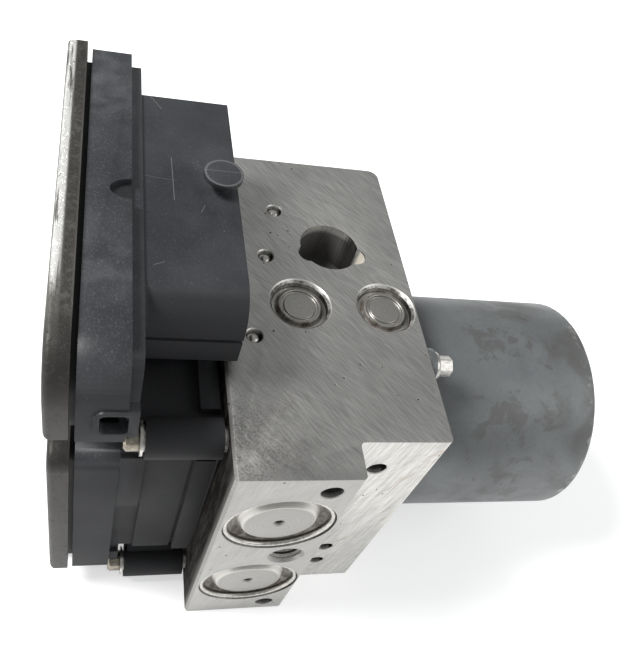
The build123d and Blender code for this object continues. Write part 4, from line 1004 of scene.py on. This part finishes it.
class BRAKEMODULE_OT_stage(bpy.types.Operator):
    """Pale floor, soft studio light and the camera"""

    bl_idname = "brake_module.stage"
    bl_label = "Stage"

    def execute(self, context):
        scene = context.scene
        floor_mesh = bpy.data.meshes.new("floor")
        reach = 6.0
        floor_mesh.from_pydata(
            [(-reach, -reach, 0), (reach, -reach, 0), (reach, reach, 0), (-reach, reach, 0)],
            [], [(0, 1, 2, 3)],
        )
        floor_mesh.transform(Matrix.Translation((0, 0, -0.02 * MM)))
        floor = bpy.data.objects.new("floor", floor_mesh)
        scene.collection.objects.link(floor)
        f = Finish("pale floor", roughness=0.9)
        grain = f.noise(60.0, 2.0, 0.5)
        f.base(f.mix(grain, (0.74, 0.74, 0.74), (0.77, 0.77, 0.77)))
        f.shader.inputs["Emission Color"].default_value = (1.0, 1.0, 1.0, 1.0)
        f.shader.inputs["Emission Strength"].default_value = 0.50
        floor_mesh.materials.append(f.material)

        scene.view_settings.view_transform = "Standard"
        world = bpy.data.worlds.new("studio")
        world.use_nodes = True
        world.node_tree.nodes["Background"].inputs["Color"].default_value = (0.97, 0.99, 1.0, 1.0)
        world.node_tree.nodes["Background"].inputs["Strength"].default_value = 0.42
        scene.world = world

        target = Vector((0.005, 0.0, 0.04))
        for name, toward, reach, size, power in LAMPS:
            light = bpy.data.lights.new(name, "AREA")
            light.shape = "DISK"
            light.size = size
            light.energy = power
            lamp = bpy.data.objects.new(name, light)
            lamp.location = target + Vector(toward) * reach
            lamp.rotation_euler = Vector(toward).to_track_quat("Z", "Y").to_euler()
            scene.collection.objects.link(lamp)

        camera = bpy.data.cameras.new("camera")
        camera.sensor_width = SENSOR
        camera.lens = FOCAL * SENSOR
        camera.shift_x, camera.shift_y = VIEW_SHIFT
        camera.clip_start = 0.005
        camera.clip_end = 20.0
        eye = bpy.data.objects.new("camera", camera)
        turn = Matrix(EYE_AXES).transposed()
        eye.matrix_world = Matrix.Translation(EYE_PLACE) @ turn.to_4x4()
        scene.collection.objects.link(eye)
        scene.camera = eye
        return {"FINISHED"}


class BRAKEMODULE_PT_panel(bpy.types.Panel):
    """Sidebar panel with the module's operators and values"""

    bl_idname = "BRAKEMODULE_PT_panel"
    bl_label = "Brake module"
    bl_space_type = "VIEW_3D"
    bl_region_type = "UI"
    bl_category = "Brake module"

    def draw(self, context):
        for operator in OPERATORS:
            self.layout.operator(operator.bl_idname)
        for group in (context.scene.brake_module_sizes, context.scene.brake_module_colours):
            for key in group.__annotations__:
                self.layout.prop(group, key)


OPERATORS = (
    BRAKEMODULE_OT_stage,
    BRAKEMODULE_OT_block,
    BRAKEMODULE_OT_threads,
    BRAKEMODULE_OT_plugs,
    BRAKEMODULE_OT_accumulators,
    BRAKEMODULE_OT_housing,
    BRAKEMODULE_OT_lid,
    BRAKEMODULE_OT_motor,
    BRAKEMODULE_OT_fasteners,
    BRAKEMODULE_OT_valves,
)
CLASSES = (BrakeModuleColours, BrakeModuleSizes, *OPERATORS, BRAKEMODULE_PT_panel)


def register():
    for item in CLASSES:
        bpy.utils.register_class(item)
    bpy.types.Scene.brake_module_colours = PointerProperty(type=BrakeModuleColours)
    bpy.types.Scene.brake_module_sizes = PointerProperty(type=BrakeModuleSizes)


def unregister():
    del bpy.types.Scene.brake_module_sizes
    del bpy.types.Scene.brake_module_colours
    for item in reversed(CLASSES):
        bpy.utils.unregister_class(item)


def main():
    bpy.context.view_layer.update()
    register()
    for operator in OPERATORS:
        group, name = operator.bl_idname.split(".")
        getattr(getattr(bpy.ops, group), name)()


if __name__ == "__main__":
    main()
